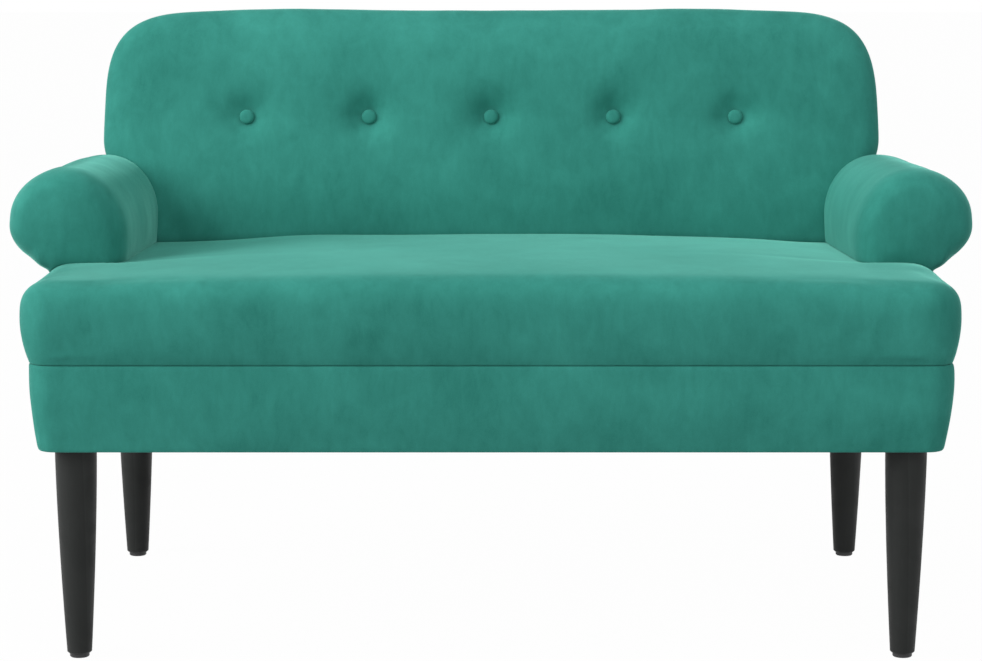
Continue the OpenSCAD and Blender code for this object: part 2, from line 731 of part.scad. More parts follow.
module base_band_cover() {
    color(velvet_dark) framed() difference() {
        band_form();
        round_block(rail_out_x + fit, rail_out_y + fit, base_corner_r - band_wall + fit, rail_z, seam_z + 1);
        block(-rail_out_x + hem_w, rail_out_x - hem_w, -rail_out_y + hem_w, rail_out_y - hem_w,
            base_z - 1, seam_z + 1);
    }
}

dust_inset = 12;

module dust_cover() {
    color(cloth_black) framed() difference() {
        block(-half_w + dust_inset, half_w - dust_inset, -half_d + dust_inset, half_d - dust_inset,
            dust_z, base_z);
        at_legs() rod_z(0, 0, dust_z - 1, base_z + 1, stud_r + fit);
    }
}

staple_l = 12;
staple_w = 1.2;
staple_t = 0.7;
staple_pitch = 70;
staple_in = 22;
staple_clear = leg_inset + leg_top_r + staple_l;

module dust_cover_staples() {
    nx = floor((half_w - staple_clear) / staple_pitch);
    ny = floor((half_d - staple_clear) / staple_pitch);
    color(zinc) framed() for (s = [-1, 1]) {
        for (k = [-nx:nx]) translate([k * staple_pitch, s * (half_d - staple_in), dust_z - staple_t / 2])
            cube([staple_l, staple_w, staple_t], center = true);
        for (k = [-ny:ny]) translate([s * (half_w - staple_in), k * staple_pitch, dust_z - staple_t / 2])
            cube([staple_w, staple_l, staple_t], center = true);
    }
}

// Legs
glide_nail_r = 1.8;
glide_nail_l = 15;
leg_chamfer = 1.5;
leg_steps = 16;

// Radius of a leg at the share h of its height
function leg_r(h) = leg_top_r - (leg_top_r - leg_foot_r) * pow(1 - h, leg_taper);

module leg(sx, sy) {
    side = [for (k = [0:leg_steps]) let (h = leg_chamfer / leg_h + k / leg_steps * (1 - leg_chamfer / leg_h))
        [leg_r(h), h * leg_h]];
    color(leg_black) framed() translate([sx * leg_x, sy * leg_y, glide_h]) difference() {
        rotate_extrude() polygon(concat([[0, 0], [leg_foot_r - leg_chamfer, 0]], side, [[0, leg_h]]));
        rod_z(0, 0, leg_h - stud_depth - hole_gap, leg_h + 1, stud_r + hole_gap);
        rod_z(0, 0, -1, glide_nail_l + hole_gap, glide_nail_r + hole_gap);
    }
}

module leg_glides() {
    color(leg_black) framed() at_legs() {
        rotate_extrude() polygon([[0, 0], [glide_r - 1, 0], [glide_r, 1], [glide_r, glide_h],
            [glide_nail_r, glide_h], [glide_nail_r, glide_h + glide_nail_l], [0, glide_h + glide_nail_l]]);
    }
}

module leg_studs() {
    color(zinc) framed() at_legs() rod_z(0, 0, dust_z - stud_depth, block_top_z + 6, stud_r);
}

module leg_t_nuts() {
    color(zinc) framed() at_legs() translate([0, 0, block_top_z + leg_nut_flange_t])
        press_nut(stud_r + hole_gap / 2, leg_nut_barrel_r, leg_nut_flange_r, leg_nut_flange_t,
            leg_nut_l + leg_nut_flange_t);
}

// Arms
arm_rail_w = 36;
arm_rail_h = 25;
arm_rail_rise = 8;
arm_foot_z = rim_z + 1;

module arm_cover(side) {
    color(velvet) framed() on_side(side) difference() {
        arm_form();
        arm_plate(arm_wadding - fit, board_1_y - fit, board_2_y + arm_board_t + fit, rim_z - arm_plate_reach);
    }
}

module arm_board(side, y) {
    color(plywood) framed() difference() {
        on_side(side) {
            arm_plate(arm_wadding, y, y + arm_board_t, arm_foot_z);
            block(tang_x, rail_in_x, y, y + arm_board_t, tang_z, rim_z + arm_rail_h);
        }
        at_arm_bolts(side) translate([0, 0, -rail_t - tang_w - 1])
            cylinder(r = bolt_r + hole_gap, h = tang_w + 2);
    }
}

module arm_top_rail_block() {
    block(roll_x - arm_rail_w / 2, roll_x + arm_rail_w / 2, board_1_y + arm_board_t, board_2_y,
        roll_z + arm_rail_rise, roll_z + arm_rail_rise + arm_rail_h);
}

module arm_base_rail_block() {
    block(tang_x, tang_x + arm_rail_w, board_1_y + arm_board_t, board_2_y, arm_foot_z, arm_foot_z + arm_rail_h);
}

module arm_top_rail(side) {
    color(pine) framed() on_side(side) arm_top_rail_block();
}

module arm_base_rail(side) {
    color(pine) framed() on_side(side) arm_base_rail_block();
}

module arm_foam(side) {
    color(foam_cream) framed() on_side(side) difference() {
        arm_plate(arm_wadding, board_1_y + arm_board_t, board_2_y, arm_foot_z);
        arm_top_rail_block();
        arm_base_rail_block();
    }
}

module arm_bolts() {
    color(zinc) framed() for (s = [-1, 1]) at_arm_bolts(s) bolt(tang_w);
}

module arm_bolt_washers() {
    color(zinc) framed() for (s = [-1, 1]) at_arm_bolts(s) washer(tang_w);
}

module arm_bolt_t_nuts() {
    color(zinc) framed() for (s = [-1, 1]) at_arm_bolts(s)
        press_nut(bolt_r + hole_gap / 2, nut_barrel_r, nut_flange_r, nut_flange_t, nut_l);
}

// Back
bottom_rail_v = 28;
top_rail_v = pocket_l - back_rail_h;
middle_rail_v = button_v - back_rail_h / 2;
frame_half_w = back_half_w - back_side_wadding;
stile_x = frame_half_w - stile_w;
post_top_v = pocket_l - 8;
toggle_r = 9;
toggle_t = 3;
knot_r = 2.4;

// Distance of a screw from the edge of a rail or stile
screw_edge = 8;

// Screws that hold the three rails on the stiles and posts
module back_screws(gap = 0) {
    outer_x = stile_x + screw_edge;
    for (x = [-outer_x, -post_x, post_x, outer_x], v = [bottom_rail_v, middle_rail_v, top_rail_v])
        translate([0, back_y, rim_z]) rotate([-back_lean, 0, 0])
            translate([x, back_rail_w, v + screw_edge]) rotate([-90, 0, 0]) screw(gap);
}

// The holes that the buttons' threads run through
module thread_holes(w0, w1) {
    for (x = button_xs) lean_rod(x, button_v, w0, w1, twine_r + fit);
}

module back_cover() {
    color(velvet) framed() difference() {
        back_form();
        back_plate(back_side_wadding - fit, foam_w - fit, back_t + 1);
        thread_holes(-back_crown - 5, foam_w + 1);
    }
}

module back_foam() {
    color(foam_cream) framed() difference() {
        intersection() {
            back_plate(back_side_wadding, foam_w, strap_w0);
            above_rim();
        }
        thread_holes(foam_w - 1, strap_w0 + 1);
    }
}

module back_webbing() {
    color(strap_tan) framed() for (k = [0:button_count]) {
        x = (k - button_count / 2) * button_pitch;
        lean_bar(x - strap_w / 2, x + strap_w / 2, bottom_rail_v + 5, pocket_l - 5, strap_w0, back_rail_w);
    }
}

module back_top_rail() {
    color(pine) framed() difference() {
        intersection() {
            back_plate(back_side_wadding, back_rail_w, post_w0);
            lean_bar(-frame_half_w, frame_half_w, top_rail_v, back_l, back_rail_w - 1, post_w0 + 1);
        }
        back_screws(hole_gap);
    }
}

module back_middle_rail() {
    color(pine) framed() difference() {
        lean_bar(-frame_half_w, frame_half_w, middle_rail_v, middle_rail_v + back_rail_h, back_rail_w, post_w0);
        back_screws(hole_gap);
        thread_holes(back_rail_w - 1, post_w0 + 1);
    }
}

module back_bottom_rail() {
    color(pine) framed() difference() {
        lean_bar(-frame_half_w, frame_half_w, bottom_rail_v, bottom_rail_v + back_rail_h, back_rail_w, post_w0);
        back_screws(hole_gap);
    }
}

module back_stile(side) {
    color(pine) framed() difference() {
        intersection() {
            back_plate(back_side_wadding, post_w0, panel_w);
            on_side(side)
                lean_bar(stile_x, frame_half_w + 5, bottom_rail_v + 2, back_l, post_w0 - 1, panel_w + 1);
        }
        back_screws(hole_gap);
    }
}

module back_post(side) {
    kink_z = rim_z - (back_y + post_w0 / cos(back_lean) - post_front_y) / tan(back_lean);
    outline = [[post_front_y, tang_z], [rail_in_y, tang_z], [rail_in_y, kink_z],
        lean_point(panel_w, post_top_v), lean_point(post_w0, post_top_v), [post_front_y, kink_z]];
    color(pine) framed() difference() {
        translate([side * post_x - post_w / 2, 0, 0]) rotate([90, 0, 90]) linear_extrude(height = post_w)
            polygon(outline);
        back_screws(hole_gap);
        at_back_bolts() translate([0, 0, -rail_t - post_foot_d - 1])
            cylinder(r = bolt_r + hole_gap, h = post_foot_d + 2);
    }
}

module back_frame_screws() {
    color(zinc) framed() back_screws();
}

module back_outer_panel() {
    color(velvet_dark) framed() intersection() {
        back_plate(back_side_wadding, panel_w, panel_w + panel_t);
        above_rim();
    }
}

module back_buttons() {
    dome = [for (a = [0:15:90]) [button_r * pow(cos(a), 0.7), 2 + (button_t - 2) * sin(a)]];
    color(velvet) framed() for (x = button_xs)
        translate([0, back_y, rim_z]) rotate([-back_lean, 0, 0])
            translate([x, tuft_floor - fit, button_v]) rotate([90, 0, 0])
                rotate_extrude() polygon(concat([[0, 0], [button_r - 1.5, 0]], dome));
}

module back_button_threads() {
    knot_w = post_w0 + toggle_t + knot_r + hole_gap;
    color(strap_tan) framed() for (x = button_xs) {
        lean_rod(x, button_v, tuft_floor - fit, knot_w, twine_r);
        translate([0, back_y, rim_z]) rotate([-back_lean, 0, 0]) translate([x, knot_w, button_v])
            sphere(r = knot_r);
    }
}

module back_button_toggles() {
    color(cloth_black) framed() for (x = button_xs) difference() {
        lean_rod(x, button_v, post_w0, post_w0 + toggle_t, toggle_r);
        lean_rod(x, button_v, post_w0 - 1, post_w0 + toggle_t + 1, twine_r + hole_gap);
    }
}

module back_bolts() {
    color(zinc) framed() at_back_bolts() bolt(post_foot_d);
}

module back_bolt_washers() {
    color(zinc) framed() at_back_bolts() washer(post_foot_d);
}

module back_bolt_t_nuts() {
    color(zinc) framed() at_back_bolts()
        press_nut(bolt_r + hole_gap / 2, nut_barrel_r, nut_flange_r, nut_flange_t, nut_l);
}

seat_frame_front_rail();
seat_frame_rear_rail();
seat_frame_side_rail(-1);  // seat_frame_side_rail_left
seat_frame_side_rail(1);  // seat_frame_side_rail_right
seat_frame_cross_rail();
seat_corner_blocks();
seat_frame_screws();
seat_webbing_front_to_rear();
seat_webbing_side_to_side();
seat_foam();
seat_cover();
base_band_cover();
dust_cover();
dust_cover_staples();
leg(-1, -1);  // leg_front_left
leg(1, -1);  // leg_front_right
leg(-1, 1);  // leg_rear_left
leg(1, 1);  // leg_rear_right
leg_studs();
leg_t_nuts();
leg_glides();
arm_cover(-1);  // arm_cover_left
arm_cover(1);  // arm_cover_right
arm_foam(-1);  // arm_foam_left
arm_foam(1);  // arm_foam_right
arm_board(-1, board_1_y);  // arm_front_board_left
arm_board(1, board_1_y);  // arm_front_board_right
arm_board(-1, board_2_y);  // arm_rear_board_left
arm_board(1, board_2_y);  // arm_rear_board_right
arm_top_rail(-1);  // arm_top_rail_left
arm_top_rail(1);  // arm_top_rail_right
arm_base_rail(-1);  // arm_base_rail_left
arm_base_rail(1);  // arm_base_rail_right
arm_bolts();
arm_bolt_washers();
arm_bolt_t_nuts();
back_cover();
back_foam();
back_webbing();
back_top_rail();
back_middle_rail();
back_bottom_rail();
back_stile(-1);  // back_stile_left
back_stile(1);  // back_stile_right
back_post(-1);  // back_post_left
back_post(1);  // back_post_right
back_frame_screws();
back_outer_panel();
back_buttons();
back_button_threads();
back_button_toggles();
back_bolts();
back_bolt_washers();
back_bolt_t_nuts();
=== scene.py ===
"""Looks of a two-seat settee: velvet over wadding, covered buttons, black legs and the frame inside."""
import logging
import math
from dataclasses import dataclass, field
from enum import Enum
from typing import Iterable, Sequence

import bmesh
import bpy
import numpy as np
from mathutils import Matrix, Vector


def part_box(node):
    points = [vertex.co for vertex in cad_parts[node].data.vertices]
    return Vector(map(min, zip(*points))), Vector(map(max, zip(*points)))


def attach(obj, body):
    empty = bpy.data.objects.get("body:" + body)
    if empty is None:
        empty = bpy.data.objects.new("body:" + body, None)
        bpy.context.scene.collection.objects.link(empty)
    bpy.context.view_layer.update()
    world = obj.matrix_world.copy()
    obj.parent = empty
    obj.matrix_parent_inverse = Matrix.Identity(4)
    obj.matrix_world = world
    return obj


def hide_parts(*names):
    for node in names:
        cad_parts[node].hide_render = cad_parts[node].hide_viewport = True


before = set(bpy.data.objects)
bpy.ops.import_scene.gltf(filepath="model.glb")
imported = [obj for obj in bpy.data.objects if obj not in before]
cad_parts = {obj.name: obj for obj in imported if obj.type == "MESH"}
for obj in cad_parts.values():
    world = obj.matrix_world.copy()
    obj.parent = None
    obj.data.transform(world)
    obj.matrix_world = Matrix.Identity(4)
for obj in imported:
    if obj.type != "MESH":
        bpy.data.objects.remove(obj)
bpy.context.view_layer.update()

LOG = logging.getLogger("settee")
# Name of the point attribute that carries painted shade in creases, seams and tufts; the velvet darkens its
# colour by it.
BODY = "root"
CREASE_SHADE = "crease_shade"
Array = np.ndarray
Colour = tuple[float, float, float]
Span = tuple[float, float]
Profile = tuple[Span, ...]
Waves = tuple[tuple[float, int, float], ...]
Socket = bpy.types.NodeSocket
Tree = bpy.types.NodeTree
Piece = bpy.types.Object


class Grain(Enum):
    """The way that wood grain runs, as the stretch of a pattern along X, Y and Z."""

    ACROSS = (0.06, 1.0, 1.0)
    DEEP = (1.0, 0.06, 1.0)
    UPRIGHT = (1.0, 1.0, 0.06)


class Side(Enum):
    """A side of the settee as a viewer in front sees it."""

    LEFT = -1
    RIGHT = 1

    @property
    def word(self) -> str:
        """The side's word in the names of pieces."""
        return self.name.lower()


def linear(red: int, green: int, blue: int) -> Colour:
    """Turns a display colour, each part from 0 to 255, into the linear one that a shader takes."""
    parts = (c / 255 for c in (red, green, blue))
    return tuple(c / 12.92 if c <= 0.04045 else ((c + 0.055) / 1.055) ** 2.4 for c in parts)


# Shader nodes


class NodeSheet:
    """Adds nodes to one node tree and joins them."""

    def __init__(self, tree: Tree) -> None:
        """Takes the tree to work in."""
        self.tree = tree

    def add(self, kind: str, inputs: dict | None = None, **settings: object) -> bpy.types.Node:
        """Adds a node.

        Args:
            kind: the node's type name.
            inputs: outputs or values for its inputs, by name or number.
            settings: attributes to set on the node.

        Returns:
            The new node.
        """
        node = self.tree.nodes.new(kind)
        for name, value in settings.items():
            setattr(node, name, value)
        for key, value in (inputs or {}).items():
            self.feed(node.inputs[key], value)
        return node

    def feed(self, socket: Socket, value: object) -> None:
        """Links an output to an input, or sets the input's own value.

        Args:
            socket: the input.
            value: an output, or a number, vector or colour.
        """
        if isinstance(value, Socket):
            self.tree.links.new(value, socket)
        else:
            socket.default_value = (*value, 1.0) if socket.type == "RGBA" else value

    def math(self, operation: str, first: object, second: object = 0.0, clamp: bool = False) -> Socket:
        """Works out two numbers or outputs, and holds the result from 0 to 1 if clamp is set."""
        node = self.add("ShaderNodeMath", {0: first, 1: second}, operation=operation, use_clamp=clamp)
        return node.outputs[0]

    def times(self, first: object, second: object) -> Socket:
        """Multiplies two numbers or outputs."""
        return self.math("MULTIPLY", first, second)

    def plus(self, first: object, second: object, clamp: bool = False) -> Socket:
        """Adds two numbers or outputs, and holds the result from 0 to 1 if clamp is set."""
        return self.math("ADD", first, second, clamp)

    def most(self, *values: Socket) -> Socket:
        """Gives the highest of two or more outputs."""
        return values[0] if len(values) == 1 else self.math("MAXIMUM", values[0], self.most(*values[1:]))

    def remap(self, value: Socket, low: float, high: float, to_low: float = 0.0,
              to_high: float = 1.0) -> Socket:
        """Maps the range from low to high onto the one from to_low to to_high, with smooth ends."""
        inputs = dict(enumerate((value, low, high, to_low, to_high)))
        return self.add("ShaderNodeMapRange", inputs, interpolation_type="SMOOTHSTEP").outputs[0]

    def noise(self, place: Socket, scale: float, detail: float, roughness: float,
              stir: float = 0.0) -> Socket:
        """Gives grey noise: repeats per metre, count and strength of its finer layers, and its stir."""
        return self.add("ShaderNodeTexNoise", {"Vector": place, "Scale": scale, "Detail": detail,
                                               "Roughness": roughness, "Distortion": stir}).outputs["Fac"]

    def stretched(self, place: Socket, scale: Sequence[float]) -> Socket:
        """Scales a place along X, Y and Z."""
        return self.add("ShaderNodeMapping", {"Vector": place, "Scale": scale}).outputs["Vector"]

    def blend(self, share: object, first: object, second: object) -> Socket:
        """Mixes two colours, where the share 0 gives the first and 1 the second."""
        return self.add("ShaderNodeMix", {0: share, 6: first, 7: second}, data_type="RGBA").outputs[2]

    def seen(self) -> Socket:
        """Gives 1 to camera, glossy and transmission rays, and 0 to all others."""
        ray = self.add("ShaderNodeLightPath").outputs
        return self.most(ray["Is Camera Ray"], ray["Is Glossy Ray"], ray["Is Transmission Ray"])

    def mixed(self, share: Socket, first: bpy.types.Node, second: bpy.types.Node) -> Socket:
        """Mixes the shaders of two nodes, where the share 0 gives the first and 1 the second."""
        inputs = {0: share, 1: first.outputs[0], 2: second.outputs[0]}
        return self.add("ShaderNodeMixShader", inputs).outputs[0]


def fresh_sheet(owner: bpy.types.Material | bpy.types.World) -> NodeSheet:
    """Empties the node tree of a material or a world.

    Args:
        owner: the material or world.

    Returns:
        The sheet to add its nodes with.
    """
    owner.use_nodes = True
    owner.node_tree.nodes.clear()
    return NodeSheet(owner.node_tree)


class PatternSheet(NodeSheet):
    """A shader node group under work: it reads a place and numbers, and gives numbers."""

    def __init__(self, name: str, numbers: Sequence[str], results: Sequence[str]) -> None:
        """Makes the group with its sockets.

        Args:
            name: the group's name.
            numbers: names of its inputs besides Place.
            results: names of its outputs.
        """
        super().__init__(bpy.data.node_groups.new(name, "ShaderNodeTree"))
        for label in ("Place", *numbers, *results):
            self.tree.interface.new_socket(
                label, in_out="OUTPUT" if label in results else "INPUT",
                socket_type="NodeSocketVector" if label == "Place" else "NodeSocketFloat")
        self.given = self.add("NodeGroupInput").outputs
        self.place = self.given["Place"]

    def end(self, **results: Socket) -> Tree:
        """Feeds the group's outputs, by name, and gives its tree."""
        self.add("NodeGroupOutput", results)
        return self.tree


def nap_group() -> Tree:
    """Makes the shared pattern of velvet: clouds where the pile leans, brushed streaks and the pile itself.

    Returns:
        The node group.
    """
    sheet = PatternSheet("velvet_nap", ("Cloud", "Streak"), ("Shade", "Pile"))
    cloud, place = sheet.given["Cloud"], sheet.place

    def swing(value: Socket, share: object) -> Socket:
        """Scales how far a noise strays from its middle."""
        return sheet.times(sheet.math("SUBTRACT", value, 0.5), share)

    clouds = sheet.noise(sheet.stretched(place, (1, 1, 0.85)), 7.0, 3.0, 0.6, 0.8)
    patches = sheet.noise(sheet.stretched(place, (1, 1, 0.7)), 30.0, 6.0, 0.72, 0.6)
    streaks = sheet.noise(sheet.stretched(place, (1, 0.8, 0.3)), 90.0, 4.0, 0.7, 0.4)
    pile = sheet.noise(place, 900.0, 2.0, 0.6)
    wide = sheet.plus(swing(clouds, cloud), sheet.times(swing(patches, cloud), 0.8))
    fine = sheet.plus(swing(streaks, sheet.given["Streak"]), swing(pile, 0.35))
    return sheet.end(Shade=sheet.plus(sheet.plus(wide, fine), 0.5, clamp=True),
                     Pile=sheet.plus(sheet.times(pile, 0.6), sheet.times(streaks, 0.4)))


def grain_group() -> Tree:
    """Makes the shared pattern of wood: growth bands and long fibres.

    Returns:
        The node group.
    """
    sheet = PatternSheet("wood_grain", ("Waviness",), ("Band", "Fibre", "Height"))
    sway = sheet.times(sheet.noise(sheet.place, 9.0, 3.0, 0.5), sheet.given["Waviness"])
    inputs = {"Vector": sheet.place, "Scale": 22.0, "Detail": 2.0, "Distortion": sway}
    bands = sheet.add("ShaderNodeTexWave", inputs, wave_type="BANDS", bands_direction="DIAGONAL",
                      wave_profile="SAW").outputs["Fac"]
    fibres = sheet.noise(sheet.place, 420.0, 3.0, 0.6)
    height = sheet.plus(sheet.times(fibres, 0.7), sheet.times(bands, 0.3))
    return sheet.end(Band=bands, Fibre=fibres, Height=height)


def weave_group() -> Tree:
    """Makes the shared pattern of plain woven threads.

    Returns:
        The node group.
    """
    sheet = PatternSheet("plain_weave", ("Threads",), ("Thread", "Height"))
    waves = []
    for axis in sheet.add("ShaderNodeSeparateXYZ", {0: sheet.place}).outputs:
        turn = sheet.times(sheet.times(axis, sheet.given["Threads"]), math.pi)
        waves.append(sheet.math("ABSOLUTE", sheet.math("SINE", turn)))
    height = sheet.most(sheet.times(waves[0], waves[1]), sheet.times(waves[2], waves[0]))
    uneven = sheet.noise(sheet.place, 60.0, 3.0, 0.6)
    return sheet.end(Thread=sheet.plus(sheet.times(height, 0.6), sheet.times(uneven, 0.4)), Height=height)


def wear_group() -> Tree:
    """Makes the shared pattern of handling: faint smudges and fine specks.

    Returns:
        The node group.
    """
    sheet = PatternSheet("handling_wear", ("Size",), ("Smudge", "Speck"))
    inputs = {0: sheet.place, "Scale": sheet.given["Size"]}
    place = sheet.add("ShaderNodeVectorMath", inputs, operation="SCALE").outputs[0]
    return sheet.end(Smudge=sheet.remap(sheet.noise(place, 4.0, 4.0, 0.6, 0.5), 0.35, 0.7),
                     Speck=sheet.remap(sheet.noise(place, 70.0, 2.0, 0.7), 0.6, 0.75))


@dataclass(frozen=True)
class Patterns:
    """The shared node groups, each built once."""

    nap: Tree = field(default_factory=nap_group)
    grain: Tree = field(default_factory=grain_group)
    weave: Tree = field(default_factory=weave_group)
    wear: Tree = field(default_factory=wear_group)


class Painter:
    """One material under work: its sheet, its shader and the patterns that it may place."""

    def __init__(self, name: str, patterns: Patterns) -> None:
        """Makes a material with a shader and an output.

        Args:
            name: the material's name.
            patterns: the shared node groups.
        """
        self.patterns = patterns
        self.material = bpy.data.materials.new(name)
        self.sheet = fresh_sheet(self.material)
        self.shader = self.sheet.add("ShaderNodeBsdfPrincipled")
        self.sheet.add("ShaderNodeOutputMaterial", {"Surface": self.shader.outputs[0]})
        self.place = self.sheet.add("ShaderNodeTexCoord").outputs["Object"]

    def set(self, **values: object) -> None:
        """Feeds the shader's inputs; an underscore stands for a space."""
        for name, value in values.items():
            self.sheet.feed(self.shader.inputs[name.replace("_", " ")], value)

    def pattern(self, tree: Tree, place: Socket | None = None,
                **values: float) -> bpy.types.bpy_prop_collection:
        """Places a shared pattern on the piece's own place, or another one, and gives its outputs."""
        inputs = {"Place": self.place if place is None else place, **values}
        return self.sheet.add("ShaderNodeGroup", inputs, node_tree=tree).outputs

    def bump(self, height: Socket, strength: float, distance: float) -> None:
        """Feeds a height to the shader's normal; distance is the height of the value 1, in metres."""
        inputs = {"Strength": strength, "Distance": distance, "Height": height}
        self.set(Normal=self.sheet.add("ShaderNodeBump", inputs).outputs[0])


# Finishes


@dataclass(frozen=True)
class Finish:
    """The recipe of one material."""

    name: str

    def make(self, patterns: Patterns) -> bpy.types.Material:
        """Makes the material.

        Args:
            patterns: the shared node groups.

        Returns:
            The material.
        """
        paint = Painter(self.name, patterns)
        self.fill(paint)
        return paint.material

    def fill(self, paint: Painter) -> None:
        """Builds the shader; each kind of finish has its own way."""
        raise NotImplementedError


@dataclass(frozen=True)
class Velvet(Finish):
    """Short-pile velvet: cloudy where the pile leans, pale where it is seen along the surface, and darker
    with painted shade in creases, seams and tufts.
    """

    name: str = "velvet_teal"
    dark: Colour = linear(36, 114, 102)
    light: Colour = linear(60, 152, 139)
    # Colour of the painted shade in creases, seams and tufts, and how much of it a full crease gets.
    crease_shade: Colour = linear(22, 66, 58)
    crease_shade_share: float = 0.35
    sheen_colour: Colour = linear(150, 240, 224)
    cloud: float = 0.9
    streak: float = 0.48
    sheen: float = 0.88
    sheen_roughness: float = 0.3
    roughness: Span = (0.92, 0.78)
    gloss: float = 0.18
    relief: float = 0.22
    depth: float = 0.0006

    def fill(self, paint: Painter) -> None:
        """Builds the shader.

        Args:
            paint: the material under work.
        """
        sheet = paint.sheet
        nap = paint.pattern(paint.patterns.nap, Cloud=self.cloud, Streak=self.streak)
        colour = sheet.blend(nap["Shade"], self.dark, self.light)
        # Painted shade: the colour is blended towards the dark crease colour where the crease attribute is
        # high.
        fold = sheet.add("ShaderNodeAttribute", attribute_name=CREASE_SHADE).outputs["Fac"]
        paint.set(Base_Color=sheet.blend(sheet.times(fold, self.crease_shade_share), colour, self.crease_shade),
                  Roughness=sheet.remap(nap["Shade"], 0.0, 1.0, *self.roughness),
                  Specular_IOR_Level=self.gloss, Sheen_Weight=self.sheen,
                  Sheen_Roughness=self.sheen_roughness, Sheen_Tint=self.sheen_colour)
        paint.bump(nap["Pile"], self.relief, self.depth)


@dataclass(frozen=True)
class Timber(Finish):
    """Planed or lacquered wood with its grain along one way."""

    grain: Grain
    dark: Colour
    light: Colour
    waviness: float = 5.0
    roughness: Span = (0.55, 0.75)
    depth: float = 0.0003
    gloss: float = 0.4
    relief: float = 0.25
    band_share: float = 0.55
    fibre_share: float = 0.5
    smudge_size: float = 6.0
    smudge_share: float = 0.2

    def fill(self, paint: Painter) -> None:
        """Builds the shader.

        Args:
            paint: the material under work.
        """
        sheet = paint.sheet
        along = sheet.stretched(paint.place, self.grain.value)
        wood = paint.pattern(paint.patterns.grain, along, Waviness=self.waviness)
        smudge = paint.pattern(paint.patterns.wear, Size=self.smudge_size)["Smudge"]
        share = sheet.plus(sheet.times(wood["Band"], self.band_share),
                           sheet.times(wood["Fibre"], self.fibre_share), clamp=True)
        colour = sheet.blend(share, self.light, self.dark)
        paint.set(Base_Color=sheet.blend(sheet.times(smudge, self.smudge_share), colour, self.dark),
                  Roughness=sheet.remap(smudge, 0.0, 1.0, *self.roughness), Specular_IOR_Level=self.gloss)
        paint.bump(wood["Height"], self.relief, self.depth)


@dataclass(frozen=True)
class Cloth(Finish):
    """Plain woven or felted cloth: webbing, dust cover and thread."""

    dark: Colour
    light: Colour
    threads: float
    roughness: float = 0.9
    gloss: float = 0.2
    sheen: float = 0.15
    relief: float = 0.4
    depth: float = 0.0004
    smudge_size: float = 3.0
    smudge_share: float = 0.25

    def fill(self, paint: Painter) -> None:
        """Builds the shader.

        Args:
            paint: the material under work.
        """
        sheet = paint.sheet
        weave = paint.pattern(paint.patterns.weave, Threads=self.threads)
        smudge = paint.pattern(paint.patterns.wear, Size=self.smudge_size)["Smudge"]
        colour = sheet.blend(weave["Thread"], self.dark, self.light)
        paint.set(Base_Color=sheet.blend(sheet.times(smudge, self.smudge_share), colour, self.dark),
                  Roughness=self.roughness, Specular_IOR_Level=self.gloss, Sheen_Weight=self.sheen)
        paint.bump(weave["Height"], self.relief, self.depth)


@dataclass(frozen=True)
class Foam(Finish):
    """Open-cell upholstery foam."""

    name: str = "foam_cream"
    dark: Colour = linear(205, 190, 150)
    light: Colour = linear(240, 231, 204)
    cells: float = 520.0
    wall_reach: float = 0.6
    roughness: float = 0.95
    gloss: float = 0.1
    relief: float = 0.5
    depth: float = 0.0008
    smudge_size: float = 2.0
    smudge_share: float = 0.3

    def fill(self, paint: Painter) -> None:
        """Builds the shader.

        Args:
            paint: the material under work.
        """
        sheet = paint.sheet
        cells = sheet.add("ShaderNodeTexVoronoi", {"Scale": self.cells, "Vector": paint.place})
        gap = cells.outputs["Distance"]
        smudge = paint.pattern(paint.patterns.wear, Size=self.smudge_size)["Smudge"]
        colour = sheet.blend(sheet.remap(gap, 0.0, self.wall_reach), self.dark, self.light)
        paint.set(Base_Color=sheet.blend(sheet.times(smudge, self.smudge_share), colour, self.dark),
                  Roughness=self.roughness, Specular_IOR_Level=self.gloss)
        paint.bump(gap, self.relief, self.depth)


@dataclass(frozen=True)
class Hard(Finish):
    """Moulded plastic or plated steel."""

    colour: Colour
    metallic: float = 0.0
    roughness: Span = (0.4, 0.6)
    relief: float = 0.3
    depth: float = 0.0001
    wear_size: float = 25.0
    speck_share: float = 0.5
    speck_shade: float = 0.7

    def fill(self, paint: Painter) -> None:
        """Builds the shader.

        Args:
            paint: the material under work.
        """
        sheet, wear = paint.sheet, paint.pattern(paint.patterns.wear, Size=self.wear_size)
        darker = tuple(self.speck_shade * c for c in self.colour)
        paint.set(Base_Color=sheet.blend(sheet.times(wear["Speck"], self.speck_share), self.colour, darker),
                  Roughness=sheet.remap(wear["Smudge"], 0.0, 1.0, *self.roughness), Metallic=self.metallic)
        paint.bump(wear["Speck"], self.relief, self.depth)


PINE = linear(176, 132, 84), linear(224, 190, 140)
PLY = linear(158, 118, 76), linear(206, 168, 120)
BLACK = linear(27, 29, 28), linear(40, 42, 41)
TAN = linear(118, 94, 64), linear(176, 150, 112)
SOOT = linear(14, 14, 15), linear(34, 34, 36)
FLAX = linear(170, 156, 128), linear(216, 204, 180)
TEAL = linear(24, 78, 70), linear(48, 120, 106)
ZINC = linear(196, 198, 202)
JET = linear(30, 30, 31)


